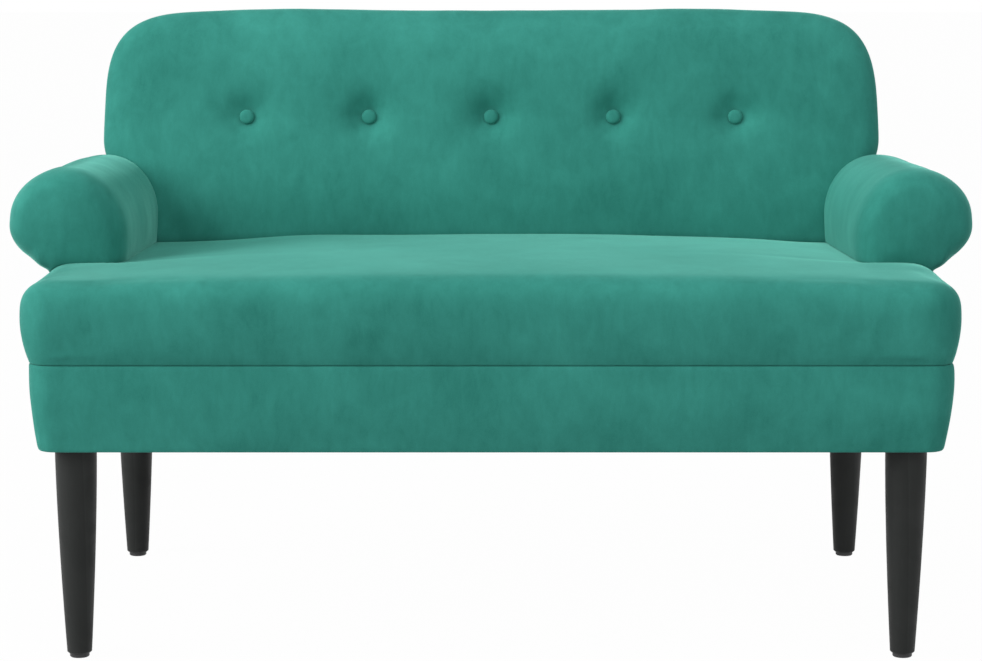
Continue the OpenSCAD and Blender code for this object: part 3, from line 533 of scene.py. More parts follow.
class Finishes:
    """Every material of the settee, made once."""

    def __init__(self) -> None:
        """Makes the shared patterns and then the materials."""
        patterns = Patterns()
        self.velvet = Velvet().make(patterns)
        self.pine = {g: Timber(f"pine_{g.name.lower()}", g, *PINE).make(patterns) for g in Grain}
        self.plywood = Timber("birch_plywood", Grain.UPRIGHT, *PLY, waviness=3.0).make(patterns)
        self.black_wood = Timber("black_lacquered_wood", Grain.UPRIGHT, *BLACK, waviness=2.0,
                                 roughness=(0.5, 0.62), depth=0.00012, gloss=0.22).make(patterns)
        self.foam = Foam().make(patterns)
        self.webbing = Cloth("webbing_tan", *TAN, threads=900.0).make(patterns)
        self.dust_cloth = Cloth("dust_cloth_black", *SOOT, threads=1400.0).make(patterns)
        self.thread = Cloth("thread_natural", *FLAX, threads=3000.0).make(patterns)
        self.seam_thread = Cloth("thread_teal", *TEAL, threads=3000.0).make(patterns)
        self.steel = Hard("zinc_plated_steel", ZINC, metallic=1.0, roughness=(0.28, 0.45)).make(patterns)
        self.plastic = Hard("black_plastic", JET).make(patterns)


# Sizes


@dataclass(frozen=True)
class Sizes:
    """The settee's sizes in metres and its main lines, the same as those of its solids."""

    half_w: float = 0.5185
    half_d: float = 0.321
    corner_r: float = 0.022
    band_h: float = 0.1015
    seat_h: float = 0.092
    seat_swell: float = 0.0193
    seat_edge_r: float = 0.028
    seat_crown: float = 0.012
    seat_depth: float = 0.528
    leg_h: float = 0.2405
    glide_h: float = 0.005
    sheet_t: float = 0.001
    arm_setback: float = 0.226
    arm_inner_x: float = 0.44
    roll_rx: float = 0.0695
    roll_rz: float = 0.0605
    roll_low: float = 0.0625
    roll_rise: float = 0.0515
    roll_drop: float = 0.004
    roll_taper: float = 0.005
    arm_toe: float = 0.007
    sink_depth: float = 0.0055
    sink_lead: float = 0.03
    sink_span: Span = (0.22, 0.43)
    neck_out: float = 0.0255
    back_half_w: float = 0.51
    back_l: float = 0.309
    back_t: float = 0.12
    back_lean: float = math.radians(12.5)
    back_corner_r: float = 0.125
    back_corner_power: float = 2.8
    back_droop: float = 0.0058
    back_droop_span: Span = (0.25, 0.46)
    back_narrowing: float = 0.0032
    back_narrowing_span: Span = (0.1, 0.25)
    back_edge_r: float = 0.03
    back_crown: float = 0.014
    back_dip: float = 0.0025
    button_pitch: float = 0.1595
    button_v: float = 0.1595
    tuft_floor: float = 0.0008
    square_power: float = 60.0
    base_y: float = field(default_factory=lambda: sum(corner.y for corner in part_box("seat_cover")) / 2)

    @property
    def dust_z(self) -> float:
        """Height of the underside."""
        return self.glide_h + self.leg_h

    @property
    def base_z(self) -> float:
        """Height of the band's bottom edge."""
        return self.dust_z + self.sheet_t

    @property
    def seam_z(self) -> float:
        """Height of the seam between band and seat."""
        return self.base_z + self.band_h

    @property
    def rim_z(self) -> float:
        """Height of the seat's rim, which arms and back stand on."""
        return self.seam_z + self.seat_h

    @property
    def front_y(self) -> float:
        """The front of the seat's swell, from the base's middle."""
        return -self.half_d - self.seat_swell

    @property
    def back_y(self) -> float:
        """The back's front plane at the rim, from the base's middle."""
        return self.front_y + self.seat_depth

    @property
    def arm_y(self) -> float:
        """The front face of an arm, from the base's middle."""
        return self.front_y + self.arm_setback

    @property
    def button_xs(self) -> list[float]:
        """The middles of the buttons across the back."""
        return [k * self.button_pitch for k in range(-2, 3)]

    def at(self, x: Array, y: Array | float, z: Array | float) -> Array:
        """Gives points, one row each, at places across, along from the base's middle, and up."""
        return np.column_stack(np.broadcast_arrays(x, y + self.base_y, z))

    def sink(self, x: Array, y: Array | float) -> Array:
        """Gives how far the seat gives way below its rim under the arms and the ends of the back."""
        rear = np.clip((y - self.arm_y + self.sink_lead) / (self.back_y - self.arm_y), 0, 1)
        return self.sink_depth * smooth_step(np.abs(x), *self.sink_span) * rear

    def corner_power(self, v: Array) -> Array:
        """Gives the back's corner power on grid lines along it: square at its foot, soft at its top."""
        return np.where(v < 0, self.square_power, self.back_corner_power)

    def shoulder(self, x: Array, v: Array) -> tuple[Array, Array]:
        """Lets the back's top droop towards its corners and its sides close in towards the top.

        Args:
            x: places across.
            v: lengths up along the lean.

        Returns:
            The places and lengths of the soft outline.
        """
        across, up = np.abs(x) / self.back_half_w, np.clip(v / self.back_l, 0, 1)
        narrow = self.back_narrowing * across ** 4 * smooth_step(v, *self.back_narrowing_span)
        droop = self.back_droop * up ** 4 * smooth_step(np.abs(x), *self.back_droop_span)
        return x - np.sign(x) * narrow, v - droop

    def on_lean(self, x: Array, v: Array, w: Array | float) -> Array:
        """Gives points of the back in the settee's frame.

        Args:
            x: places across.
            v: lengths up along the lean.
            w: depths behind the front plane.

        Returns:
            The points, one row each.
        """
        c, s = math.cos(self.back_lean), math.sin(self.back_lean)
        return np.column_stack(np.broadcast_arrays(
            x, self.base_y + self.back_y + w * c + v * s, self.rim_z - w * s + v * c))


# Mesh making


def smooth_step(value: Array, low: float, high: float) -> Array:
    """Rises smoothly from 0 at low to 1 at high."""
    t = np.clip((value - low) / (high - low), 0, 1)
    return t * t * (3 - 2 * t)


def ripple(points: Array, length: float, seed: int, count: int = 14, spread: Span = (0.7, 1.4)) -> Array:
    """Gives a soft random field over points, about from -1 to 1.

    Args:
        points: the places, one row each.
        length: the usual distance between two crests.
        seed: seed of the random waves.
        count: number of waves added up.
        spread: shortest and longest wave, as shares of the length.

    Returns:
        One value for each point.
    """
    rng = np.random.default_rng(seed)
    ways = rng.normal(size=(count, 3))
    ways /= np.linalg.norm(ways, axis=1)[:, None]
    pace = 2 * math.pi / (length * rng.uniform(*spread, count))
    phase = rng.uniform(0, 2 * math.pi, count)
    return np.sin(points @ (ways * pace[:, None]).T + phase).sum(axis=1) / math.sqrt(count / 2) / 2


def swells(points: Array, waves: Waves, shift: int = 0) -> Array:
    """Adds up ripples over points, each given by its length, seed (plus a shift) and height."""
    return sum(ripple(points, length, seed + shift) * height for length, seed, height in waves)


def grid_lines(run: float, step: float, corner: int, extra: Iterable[float] = (),
               closest: float = 0.3) -> Array:
    """Sets grid lines: from -1 to 1 along a straight run, and from 1 to 2 round a corner.

    Args:
        run: half of the straight run, in metres.
        step: distance between lines on the run.
        corner: number of steps round a corner.
        extra: places on the run that get a line too, in metres from the middle.
        closest: least distance between two lines, as a share of the step.

    Returns:
        The lines from -2 to 2.
    """
    straight = np.linspace(-1, 1, max(2, round(2 * run / step)) + 1)
    straight = np.unique(np.round(np.concatenate([straight, np.array(list(extra)) / run]), 9))
    keep = np.concatenate([[True], np.diff(straight) * run > step * closest])
    turn = np.linspace(1, 2, corner + 1)[1:]
    return np.concatenate([-turn[::-1], straight[keep], turn])


def round_points(u: Array, v: Array, a: float, b: float, r: float,
                 power: float | Array = 2.0) -> tuple[Array, Array]:
    """Places grid lines on a rounded rectangle.

    Args:
        u: lines across, from -2 to 2.
        v: lines along, from -2 to 2.
        a: half of the width.
        b: half of the length.
        r: corner radius.
        power: 2 for a round corner, more for a squarer one.

    Returns:
        The places across and along.
    """
    p, q = np.maximum(np.abs(u) - 1, 0), np.maximum(np.abs(v) - 1, 0)
    reach = (p ** power + q ** power) ** (1 / power)
    k = np.where(reach > 0, np.maximum(p, q) / np.maximum(reach, 1e-12), 1.0)
    return (np.sign(u) * ((a - r) * np.minimum(np.abs(u), 1) + r * p * k),
            np.sign(v) * ((b - r) * np.minimum(np.abs(v), 1) + r * q * k))


class Lattice:
    """Grid lines across and along, with the order of their border points."""

    def __init__(self, us: Array, vs: Array) -> None:
        """Lays the grid out.

        Args:
            us: lines across.
            vs: lines along.
        """
        self.nu, self.nv = len(us), len(vs)
        self.u, self.v = (g.ravel() for g in np.meshgrid(us, vs))
        i, j = np.arange(self.nu), np.arange(self.nv)
        last_u, last_v = self.nu - 1, self.nv - 1
        self.edge = np.concatenate([
            i[:-1], j[:-1] * self.nu + last_u, last_v * self.nu + i[:0:-1], j[:0:-1] * self.nu])
        self.edge_u, self.edge_v = self.u[self.edge], self.v[self.edge]


def add_object(name: str, data: bpy.types.ID) -> Piece:
    """Makes an object and links it to the scene.

    Args:
        name: the object's name.
        data: its mesh, lamp or camera.

    Returns:
        The object.
    """
    piece = bpy.data.objects.new(name, data)
    bpy.context.scene.collection.objects.link(piece)
    return piece


class Shell:
    """Points and faces of one closed form under work."""

    def __init__(self) -> None:
        """Starts empty."""
        self.blocks: list[Array] = []
        self.faces: list[tuple[int, ...]] = []
        self.size = 0

    def put(self, points: Array) -> Array:
        """Adds points.

        Args:
            points: the points, one row each.

        Returns:
            Their numbers.
        """
        self.blocks.append(np.asarray(points, float))
        self.size += len(points)
        return np.arange(self.size - len(points), self.size)

    def quads(self, *corners: Array) -> None:
        """Adds the quads between four arrays of corners."""
        self.faces.extend(map(tuple, np.stack(corners, axis=-1).reshape(-1, 4).tolist()))

    def weave(self, numbers: Array, lattice: Lattice) -> None:
        """Adds the quads of a lattice."""
        n = numbers.reshape(lattice.nv, lattice.nu)
        self.quads(n[:-1, :-1], n[:-1, 1:], n[1:, 1:], n[1:, :-1])

    def bridge(self, first: Array, second: Array) -> None:
        """Adds the quads between two closed loops of equal length."""
        self.quads(first, np.roll(first, -1), np.roll(second, -1), second)

    def run(self, loops: Sequence[Array], start: Array) -> Array:
        """Adds loops one after another from a loop that is there.

        Args:
            loops: the points of each loop.
            start: numbers of the loop to start from.

        Returns:
            Numbers of the last loop.
        """
        for loop in loops:
            numbers = self.put(loop)
            self.bridge(start, numbers)
            start = numbers
        return start

    def floor(self, loop: Array, lattice: Lattice, points: Array) -> None:
        """Closes a lattice's border loop with the lattice's own grid.

        Args:
            loop: numbers of the border points.
            lattice: the grid.
            points: places of all the grid's points; those of the border are not used.
        """
        numbers = np.full(len(points), -1)
        numbers[lattice.edge] = loop
        free = numbers < 0
        numbers[free] = self.put(points[free])
        self.weave(numbers, lattice)

    def cap(self, loop: Array) -> None:
        """Closes a short loop with a fan round its middle.

        Args:
            loop: numbers of the loop's points.
        """
        points = np.concatenate(self.blocks)[loop]
        middle = int(self.put(points.mean(axis=0)[None])[0])
        self.faces.extend((int(a), int(b), middle) for a, b in zip(loop, np.roll(loop, -1)))

    def tube(self, loops: Sequence[Array]) -> None:
        """Adds loops one after another and closes both ends.

        Args:
            loops: the points of each loop.
        """
        first = self.put(loops[0])
        self.cap(first)
        self.cap(self.run(loops[1:], first))

    def build(self, name: str, hollow: int | None = None) -> Piece:
        """Makes the mesh object, faces outwards and smooth.

        Args:
            name: the object's name.
            hollow: the first point of a hollow inside, if there is one.

        Returns:
            The object, linked to the scene.
        """
        mesh = bpy.data.meshes.new(name)
        mesh.from_pydata(np.concatenate(self.blocks).tolist(), [], self.faces)
        work = bmesh.new()
        work.from_mesh(mesh)
        bmesh.ops.recalc_face_normals(work, faces=work.faces)
        if hollow is not None:
            inside = [face for face in work.faces if face.verts[0].index >= hollow]
            bmesh.ops.reverse_faces(work, faces=inside)
        work.to_mesh(mesh)
        work.free()
        mesh.polygons.foreach_set("use_smooth", np.ones(len(mesh.polygons), bool))
        return add_object(name, mesh)


def read(piece: Piece, what: str = "co") -> Array:
    """Reads a vector of each point of a mesh, one row each.

    Args:
        piece: the mesh object.
        what: co for the places or normal for the normals.

    Returns:
        The vectors.
    """
    values = np.empty(len(piece.data.vertices) * 3)
    piece.data.vertices.foreach_get(what, values)
    return values.reshape(-1, 3)


def set_places(piece: Piece, points: Array) -> None:
    """Writes a mesh's points back."""
    piece.data.vertices.foreach_set("co", points.ravel())
    piece.data.update()


def weigh(piece: Piece, name: str, weights: Array) -> str:
    """Gives a piece a vertex group.

    Args:
        piece: the mesh object.
        name: the group's name.
        weights: the weight of each point, used to two decimals.

    Returns:
        The group's name.
    """
    group, weights = piece.vertex_groups.new(name=name), np.round(weights, 2)
    for weight in np.unique(weights):
        if weight > 0:
            group.add(np.flatnonzero(weights == weight).tolist(), float(weight), "REPLACE")
    return group.name


def soften(piece: Piece, free: Array, rounds: int = 4) -> None:
    """Evens out the free part of a cover.

    Args:
        piece: the cover.
        free: for each point, 1 where it may move and 0 where it stays.
        rounds: how often each point moves towards its neighbours.
    """
    name = weigh(piece, "free", free)
    step = piece.modifiers.new("Soften", "SMOOTH")
    step.factor, step.iterations, step.vertex_group = 0.5, rounds, name
    settle(piece)
    piece.vertex_groups.clear()


def paint_crease_shade(piece: Piece, values: Array) -> None:
    """Stores the painted shade of each point, from 0 to 1, deepest in creases, seams and tufts, for the
    velvet to darken its colour by.
    """
    layer = piece.data.attributes.new(CREASE_SHADE, "FLOAT", "POINT")
    layer.data.foreach_set("value", np.clip(values, 0, 1).astype(np.float32))


def refine(piece: Piece) -> None:
    """Subdivides a mesh once, for good.

    Args:
        piece: the mesh object.
    """
    step = piece.modifiers.new("Refine", "SUBSURF")
    step.levels = step.render_levels = 1
    settle(piece)


def settle(piece: Piece) -> None:
    """Makes the result of a piece's modifiers its own mesh.

    Args:
        piece: the mesh object.
    """
    bpy.context.view_layer.update()
    result = bpy.data.meshes.new_from_object(piece.evaluated_get(bpy.context.evaluated_depsgraph_get()))
    result.name = piece.name
    piece.modifiers.clear()
    old = piece.data
    piece.data = result
    bpy.data.meshes.remove(old)
    piece.data.polygons.foreach_set("use_smooth", np.ones(len(piece.data.polygons), bool))


@dataclass(frozen=True)
class Inflation:
    """A cloth simulation that fills a cover from inside, up to a cap in metres."""

    pressure: float = 3.0
    cap: float = 0.003
    stiffness: float = 30.0
    bending: float = 1.0
    mass: float = 0.3
    quality: int = 5
    frames: int = 20
    shrink: float = -0.1

    def run(self, piece: Piece, held: Array) -> None:
        """Fills the cover and keeps the result in its mesh.

        Args:
            piece: the closed cover.
            held: for each point, 1 where it is stapled or pressed and stays, 0 where it is free.
        """
        scene = bpy.context.scene
        rest, ways = read(piece), read(piece, "normal")
        name = weigh(piece, "held", held)
        cloth = piece.modifiers.new("Inflation", "CLOTH")
        rules = cloth.settings
        rules.quality = self.quality
        rules.mass = self.mass
        rules.tension_stiffness = rules.compression_stiffness = self.stiffness
        rules.shear_stiffness = self.stiffness / 3
        rules.bending_stiffness = self.bending
        rules.use_pressure = True
        rules.uniform_pressure_force = self.pressure
        rules.vertex_group_mass = name
        rules.effector_weights.gravity = 0.0
        cloth.collision_settings.use_collision = False
        cloth.point_cache.frame_start, cloth.point_cache.frame_end = 1, self.frames
        for number in range(1, self.frames + 1):
            scene.frame_set(number)
        shift = read(piece.evaluated_get(bpy.context.evaluated_depsgraph_get())) - rest
        swell = np.einsum("ij,ij->i", shift, ways)[:, None]
        length = np.linalg.norm(shift, axis=1)[:, None]
        shift += (np.maximum(swell, self.shrink * length) - swell) * ways
        length = np.linalg.norm(shift, axis=1)[:, None]
        shift *= self.cap * np.tanh(length / self.cap) / np.maximum(length, 1e-9)
        piece.modifiers.clear()
        piece.vertex_groups.clear()
        scene.frame_set(1)
        set_places(piece, rest + shift)
        LOG.info("%s: filled by %.1f mm at most", piece.name, 1000 * np.linalg.norm(shift, axis=1).max())


def dress(piece: Piece, material: bpy.types.Material, slot: str, *nodes: str) -> Piece:
    """Gives a piece its finish and its place in the settee.

    Args:
        piece: the mesh object.
        material: its material.
        slot: not used.
        nodes: solids that it stands for.

    Returns:
        The piece.
    """
    piece.data.materials.clear()
    piece.data.materials.append(material)
    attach(piece, BODY)
    if nodes:
        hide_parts(*nodes)
    LOG.info("%s: %d points, %d faces", piece.name, len(piece.data.vertices), len(piece.data.polygons))
    return piece


# The upholstery


@dataclass
class Upholstery:
    """What every sewn part knows: the settee's sizes and its finishes."""

    sizes: Sizes
    finishes: Finishes

    def clothe(self, piece: Piece, node: str) -> None:
        """Gives a shaped cover its last, finer mesh and its velvet, in place of a solid."""
        refine(piece)
        dress(piece, self.finishes.velvet, "velvet", node)


@dataclass
class SeatCover(Upholstery):
    """The seat's velvet and wadding: a crowned pad, swollen at its sides and drawn in to the seam."""

    step: float = 0.0105
    slack: float = 0.001
    stop: float = 0.012
    pocket_x: float = 0.4626
    pocket_front: float = -0.2986
    pocket_rear: float = 0.2591
    pocket_top: float = 0.0773
    pocket_r: float = 0.004
    pocket_play: float = 0.003
    corner_steps: int = 4
    edge_steps: int = 9
    crown_power: float = 2.5
    crown_y: float = -0.08
    crown_reach: float = 0.27
    crown_fall: float = 0.6
    crown_least: float = 0.4
    held_span: Span = (0.001, 0.012)
    soft_span: Span = (0.04, 0.07)
    soft_rounds: int = 8
    sink_span: Span = (0.05, 0.09)
    waves: Waves = ((0.2, 3, 0.0009), (0.07, 4, 0.00012))
    pucker: tuple[float, int, float] = (0.016, 5, 0.00035)
    pucker_z: float = 0.008
    pucker_reach: float = 0.009
    # Painted shade along the seam: its strongest share and how fast it fades above the seam, in metres.
    crease_shade: Span = (0.4, 0.008)
    inflation: Inflation = Inflation(pressure=4.0)
    side: Profile = (
        (0.0, 0.64), (0.0001, 0.57), (0.0004, 0.5), (0.001, 0.42), (0.002, 0.34), (0.0033, 0.26),
        (0.0048, 0.19), (0.0064, 0.125), (0.0078, 0.078), (0.009, 0.042), (0.0098, 0.015), (0.0102, 0.006),
        (0.0107, 0.002), (0.0115, 0.0008), (0.016, 0.0005))

    def rise(self, x: Array, y: Array) -> Array:
        """Gives the crown's height over the rim.

        Args:
            x: places across.
            y: places along, from the base's middle.

        Returns:
            The heights.
        """
        s = self.sizes
        across = 1 - np.minimum(np.abs(x) / s.arm_inner_x, 1) ** self.crown_power
        along = 1 - self.crown_fall * ((y - self.crown_y) / self.crown_reach) ** 2
        along = np.maximum(along, self.crown_least)
        return s.seat_crown * across * along * np.clip((s.back_y - y) / self.stop, 0, 1)

    def build(self) -> None:
        """Builds the cover with its pocket for the foam: top, rounded edge, side, pocket."""
        s = self.sizes
        lattice = Lattice(*(grid_lines(half - s.corner_r, self.step, self.corner_steps, extra)
                            for half, extra in ((s.half_w, (-s.arm_inner_x, s.arm_inner_x)),
                                                (s.half_d, (s.back_y - self.stop, s.back_y)))))
        swell = s.seat_swell - self.slack
        inset = swell - s.seat_edge_r
        pocket_y = (self.pocket_front + self.pocket_rear) / 2
        pocket_d = (self.pocket_rear - self.pocket_front) / 2

        def ring(out: float, u: Array, v: Array) -> tuple[Array, Array]:
            """Places points at a distance out from the base's bottom edge."""
            return round_points(u, v, s.half_w + out, s.half_d + out, s.corner_r + out)

        def pocket(up: float, u: Array, v: Array) -> Array:
            """Sets points of the pocket at a height over the seam."""
            x, y = round_points(u, v, self.pocket_x, pocket_d, self.pocket_r)
            return s.at(x, y + pocket_y, s.seam_z + up)

        shell = Shell()
        x, y = ring(inset, lattice.u, lattice.v)
        top = shell.put(s.at(x, y, s.rim_z + self.rise(x, y)))
        shell.weave(top, lattice)
        crown = self.rise(*ring(inset, lattice.edge_u, lattice.edge_v))
        loops = []
        for angle in np.radians(np.linspace(0, 90, self.edge_steps + 1)[1:]):
            drop = s.seat_edge_r * (1 - math.cos(angle))
            x, y = ring(inset + s.seat_edge_r * math.sin(angle), lattice.edge_u, lattice.edge_v)
            loops.append(s.at(x, y, s.rim_z + crown * math.cos(angle) - drop))
        loops += [s.at(*ring(swell - draw, lattice.edge_u, lattice.edge_v), s.seam_z + share * s.seat_h)
                  for draw, share in self.side]
        loops += [pocket(up, lattice.edge_u, lattice.edge_v) for up in (0.0002, self.pocket_top)]
        last = shell.run(loops, top[lattice.edge])
        shell.floor(last, lattice, pocket(self.pocket_top, lattice.u, lattice.v))
        self.shape(shell.build("seat_cover_velvet"))

    def shape(self, piece: Piece) -> None:
        """Fills the cover, works its surface and dresses it.

        Args:
            piece: the cover.
        """
        s, points, edge = self.sizes, read(piece), self.pocket_play
        y, over_seam = points[:, 1] - s.base_y, points[:, 2] - s.seam_z
        inside = (np.abs(points[:, 0]) < self.pocket_x + edge) & (over_seam < self.pocket_top + 0.001) \
            & (y > self.pocket_front - edge) & (y < self.pocket_rear + edge)
        outer = np.where(inside, 0, 1)
        under_arm = smooth_step(np.abs(points[:, 0]), s.arm_inner_x - 0.004, s.arm_inner_x + 0.004) \
            * smooth_step(y, s.arm_y - 0.01, s.arm_y + 0.01)
        under_back = smooth_step(y, s.back_y - 0.006, s.back_y + 0.004)
        held = np.where(points[:, 2] > s.rim_z - 0.02, np.maximum(under_arm, under_back), 0)
        held = np.maximum(held, 1 - smooth_step(over_seam, *self.held_span))
        held[inside] = 1
        self.inflation.run(piece, held)
        soften(piece, smooth_step(over_seam, *self.soft_span) * outer, self.soft_rounds)
        points, normals = read(piece), read(piece, "normal")
        sink = s.sink(points[:, 0], points[:, 1] - s.base_y)
        points[:, 2] -= sink * smooth_step(over_seam, *self.sink_span) * outer
        wave = swells(points, self.waves) * ((1 - held) * outer)
        along = points[:, 0] + points[:, 1]
        pucker = swells(np.column_stack([along, along * 0, along * 0]), (self.pucker,))
        pucker *= np.exp(-((over_seam - self.pucker_z) / self.pucker_reach) ** 2)
        set_places(piece, points + normals * (wave + pucker * outer)[:, None])
        # Painted shade darkening the velvet just above the seam.
        share, reach = self.crease_shade
        paint_crease_shade(piece, share * np.exp(-over_seam / reach) * outer)
        self.clothe(piece, "seat_cover")


@dataclass
class BandCover(Upholstery):
    """The padded velvet band round the frame, with its hem turned under the rails."""

    step: float = 0.0105
    slack: float = 0.001
    wall: float = 0.0052
    hem: float = 0.026
    least_r: float = 0.004
    corner_steps: int = 6
    free_low: Span = (0.02, 0.15)
    free_high: Span = (0.95, 0.995)
    waves: Waves = ((0.14, 8, 0.0008), (0.05, 9, 0.0002))
    # Painted shade just below the seam: its strongest share and how fast it fades, in metres.
    crease_shade: Span = (0.25, 0.0012)
    free_skin: float = -0.003
    # Depth behind the band's face beyond which no painted shade is given.
    crease_shade_skin: float = -0.004
    inflation: Inflation = Inflation()
    side: Profile = (
        (0.0025, 0.9997), (0.0062, 0.9992), (0.0081, 0.9965), (0.0091, 0.989), (0.0098, 0.971),
        (0.0102, 0.938), (0.0104, 0.88), (0.0105, 0.82), (0.0105, 0.76), (0.0103, 0.69), (0.0098, 0.62),
        (0.0091, 0.55), (0.0082, 0.48), (0.0073, 0.41), (0.0063, 0.34), (0.0052, 0.27), (0.0041, 0.2),
        (0.0029, 0.14), (0.0017, 0.085), (0.0007, 0.045), (-0.0003, 0.018), (-0.0016, 0.004), (-0.004, 0.0))

    def build(self) -> None:
        """Builds, fills and dresses the band: its side, its hem under the rails and its inner wall."""
        s = self.sizes
        lattice = Lattice(*(grid_lines(half - s.corner_r, self.step, self.corner_steps)
                            for half in (s.half_w, s.half_d)))

        def loop(out: float, z: float) -> Array:
            """Sets one loop at a distance out from the bottom edge and a height."""
            sides = s.half_w + out, s.half_d + out, max(s.corner_r + out, self.least_r)
            return s.at(*round_points(lattice.edge_u, lattice.edge_v, *sides), z)

        loops = [loop(out - self.slack * share, s.base_z + share * s.band_h) for out, share in self.side]
        loops += [loop(-draw, z) for draw, z in (
            (self.hem * 0.5, s.base_z), (self.hem, s.base_z), (self.hem, s.base_z + 0.0008),
            (self.wall + 0.001, s.base_z + 0.0009), (self.wall, s.base_z + 0.002),
            (self.wall, s.base_z + 0.5 * s.band_h), (self.wall, s.seam_z - 0.0002))]
        shell = Shell()
        first = shell.put(loops[0])
        shell.bridge(shell.run(loops[1:], first), first)
        piece = shell.build("base_band_velvet")
        points = read(piece)
        share = (points[:, 2] - s.base_z) / s.band_h
        out = np.maximum(np.abs(points[:, 0]) - s.half_w, np.abs(points[:, 1] - s.base_y) - s.half_d)
        free = smooth_step(share, *self.free_low) * (1 - smooth_step(share, *self.free_high))
        free *= out > self.free_skin
        self.inflation.run(piece, 1 - free)
        points, normals = read(piece), read(piece, "normal")
        set_places(piece, points + normals * (swells(points, self.waves) * free)[:, None])
        # Painted shade darkening the velvet just below the seam, on the outer face only.
        under_seam, (share, reach) = np.maximum(s.seam_z - points[:, 2], 0), self.crease_shade
        paint_crease_shade(piece, share * np.exp(-under_seam / reach) * (out > self.crease_shade_skin))
        self.clothe(piece, "base_band_cover")


@dataclass
class ArmCover(Upholstery):
    """A rolled arm's velvet and wadding, from its pillowed front face back to the leaning back."""

    edge_r: float = 0.024
    edge_depth: float = 0.048
    edge_power: float = 2.1
    pillow: float = 0.005
    outer_full: float = 0.0036
    low_full: float = 0.0034
    inner_drop: float = 0.02
    wall_lean: float = 0.0015
    press: float = 0.0008
    wadding: float = 0.0155
    board_y: float = 0.0265
    rear_gap: float = 0.062
    middle_drop: float = 0.006
    step: float = 0.0065
    turn: Span = (-48, 176)
    turn_points: int = 48
    wall_points: int = 10
    foot_points: int = 10
    lip_points: int = 5
    edge_points: int = 10
    even_rounds: int = 90
    held_rim: Span = (0.002, 0.016)
    held_rear: Span = (0.002, 0.02)
    soft_span: Span = (0.01, 0.03)
    sink_span: Span = (0.004, 0.03)
    waves: Waves = ((0.11, 21, 0.0008), (0.04, 25, 0.0002))
    # How far from the seat and the back the painted shade in the arm's creases fades.
    crease_shade_reach: float = 0.004
    inflation: Inflation = Inflation()
    end_shares: tuple[float, ...] = (0.12, 0.28, 0.44, 0.6, 0.75, 0.88)
    end_power: float = 2.2
    end_gap: float = 0.0004
    rear_edge: Profile = ((0.0, 0.006), (0.0008, 0.0034), (0.0024, 0.0014), (0.005, 0.0006))
    pocket_share: float = 0.6
    pocket_foot: float = 0.0012
    pocket_edge: float = 0.0015
    neck: Profile = ((-0.0012, 0.0006), (-0.0006, 0.002), (0.0004, 0.0034), (0.003, 0.005),
                     (0.0075, 0.0072), (0.013, 0.0105))

    def section(self, draw: float, rear: float = 0.0) -> Array:
        """Gives the outline of an arm of the viewer's right.

        Args:
            draw: how far the outline is drawn in.
            rear: 0 for the front, 1 for the end at the back.

        Returns:
            Points as rows of x and z, from the neck up and over the roll to the inner side and the foot.
        """
        s = self.sizes
        rx = s.roll_rx - draw - rear * (s.roll_taper - s.arm_toe / 2)
        top, low = s.roll_rz - draw - rear * s.roll_drop, s.roll_low - draw
        inner = s.arm_inner_x + draw - rear * s.arm_toe
        t = np.radians(np.linspace(*self.turn, self.turn_points))
        full = self.outer_full * np.maximum(np.cos(t), 0)
        full += self.low_full * np.sin(np.pi * np.clip(t / t[0], 0, 1))
        rise = np.where(t > 0, top, low) * np.sin(t)
        inward = t > math.pi / 2
        rise[inward] = top - (top + self.inner_drop) * (1 - np.sin(t[inward]))
        roll = np.column_stack([inner + rx * (1 + np.cos(t)) + full, s.rim_z + s.roll_rise + rise])
        start, end = roll[-1], np.array([inner + self.wall_lean, s.rim_z + 0.004])
        share = np.linspace(0, 1, self.wall_points + 1)[1:]
        wall = start + (end - start) * np.column_stack([share ** 2, share])
        corner = np.array([[end[0] + 0.0004, s.rim_z + 0.0008]])
        edge_x, edge_z = s.half_w + s.seat_swell - s.seat_edge_r, s.rim_z - s.seat_edge_r
        foot_x = np.linspace(end[0] + 0.0022, edge_x - 0.002, self.foot_points)
        foot = np.column_stack([foot_x, np.full(self.foot_points, s.rim_z - self.press)])
        neck_x = s.arm_inner_x + s.roll_rx + s.neck_out - draw / 4
        r = s.seat_edge_r - self.press
        a = np.linspace(0, math.asin((neck_x - 0.002 - edge_x) / r), self.lip_points)
        lip = np.column_stack([edge_x + r * np.sin(a), edge_z + r * np.cos(a)])
        return np.concatenate([roll, wall, corner, foot, lip, np.array(self.neck) + [neck_x, lip[-1, 1]]])

    def rounder(self, outline: Array, share: float) -> Array:
        """Evens out an outline, the more the nearer it comes to the middle of the arm's end.

        Args:
            outline: the outline's points.
            share: 0 at the middle of the end, 1 at its rim.

        Returns:
            The rounder outline.
        """
        for _ in range(round(self.even_rounds * (1 - share))):
            outline = (np.roll(outline, 1, axis=0) + 2 * outline + np.roll(outline, -1, axis=0)) / 4
        return outline

    def build(self, side: Side) -> None:
        """Builds one arm: front face, rounded edge, roll, closed rear end and the pocket for its foam.

        Args:
            side: which arm.
        """
        s = self.sizes
        middle = np.array([s.arm_inner_x + s.roll_rx, s.rim_z + s.roll_rise - self.middle_drop])
        shoulder_y = s.arm_y + self.edge_depth

        def loop(outline: Array, y: Array | float) -> Array:
            """Sets one loop of the arm, mirrored for the left."""
            return s.at(side.value * outline[:, 0], y, outline[:, 1])

        def rear_y(outline: Array, gap: float) -> Array:
            """Gives the leaning plane of the back, less a gap, for each point of an outline."""
            return s.back_y + (outline[:, 1] - s.rim_z) * math.tan(s.back_lean) - gap

        def drawn(outline: Array, share: float) -> Array:
            """Draws an outline in towards the middle of the arm's end."""
            return middle + (self.rounder(outline, share) - middle) * share

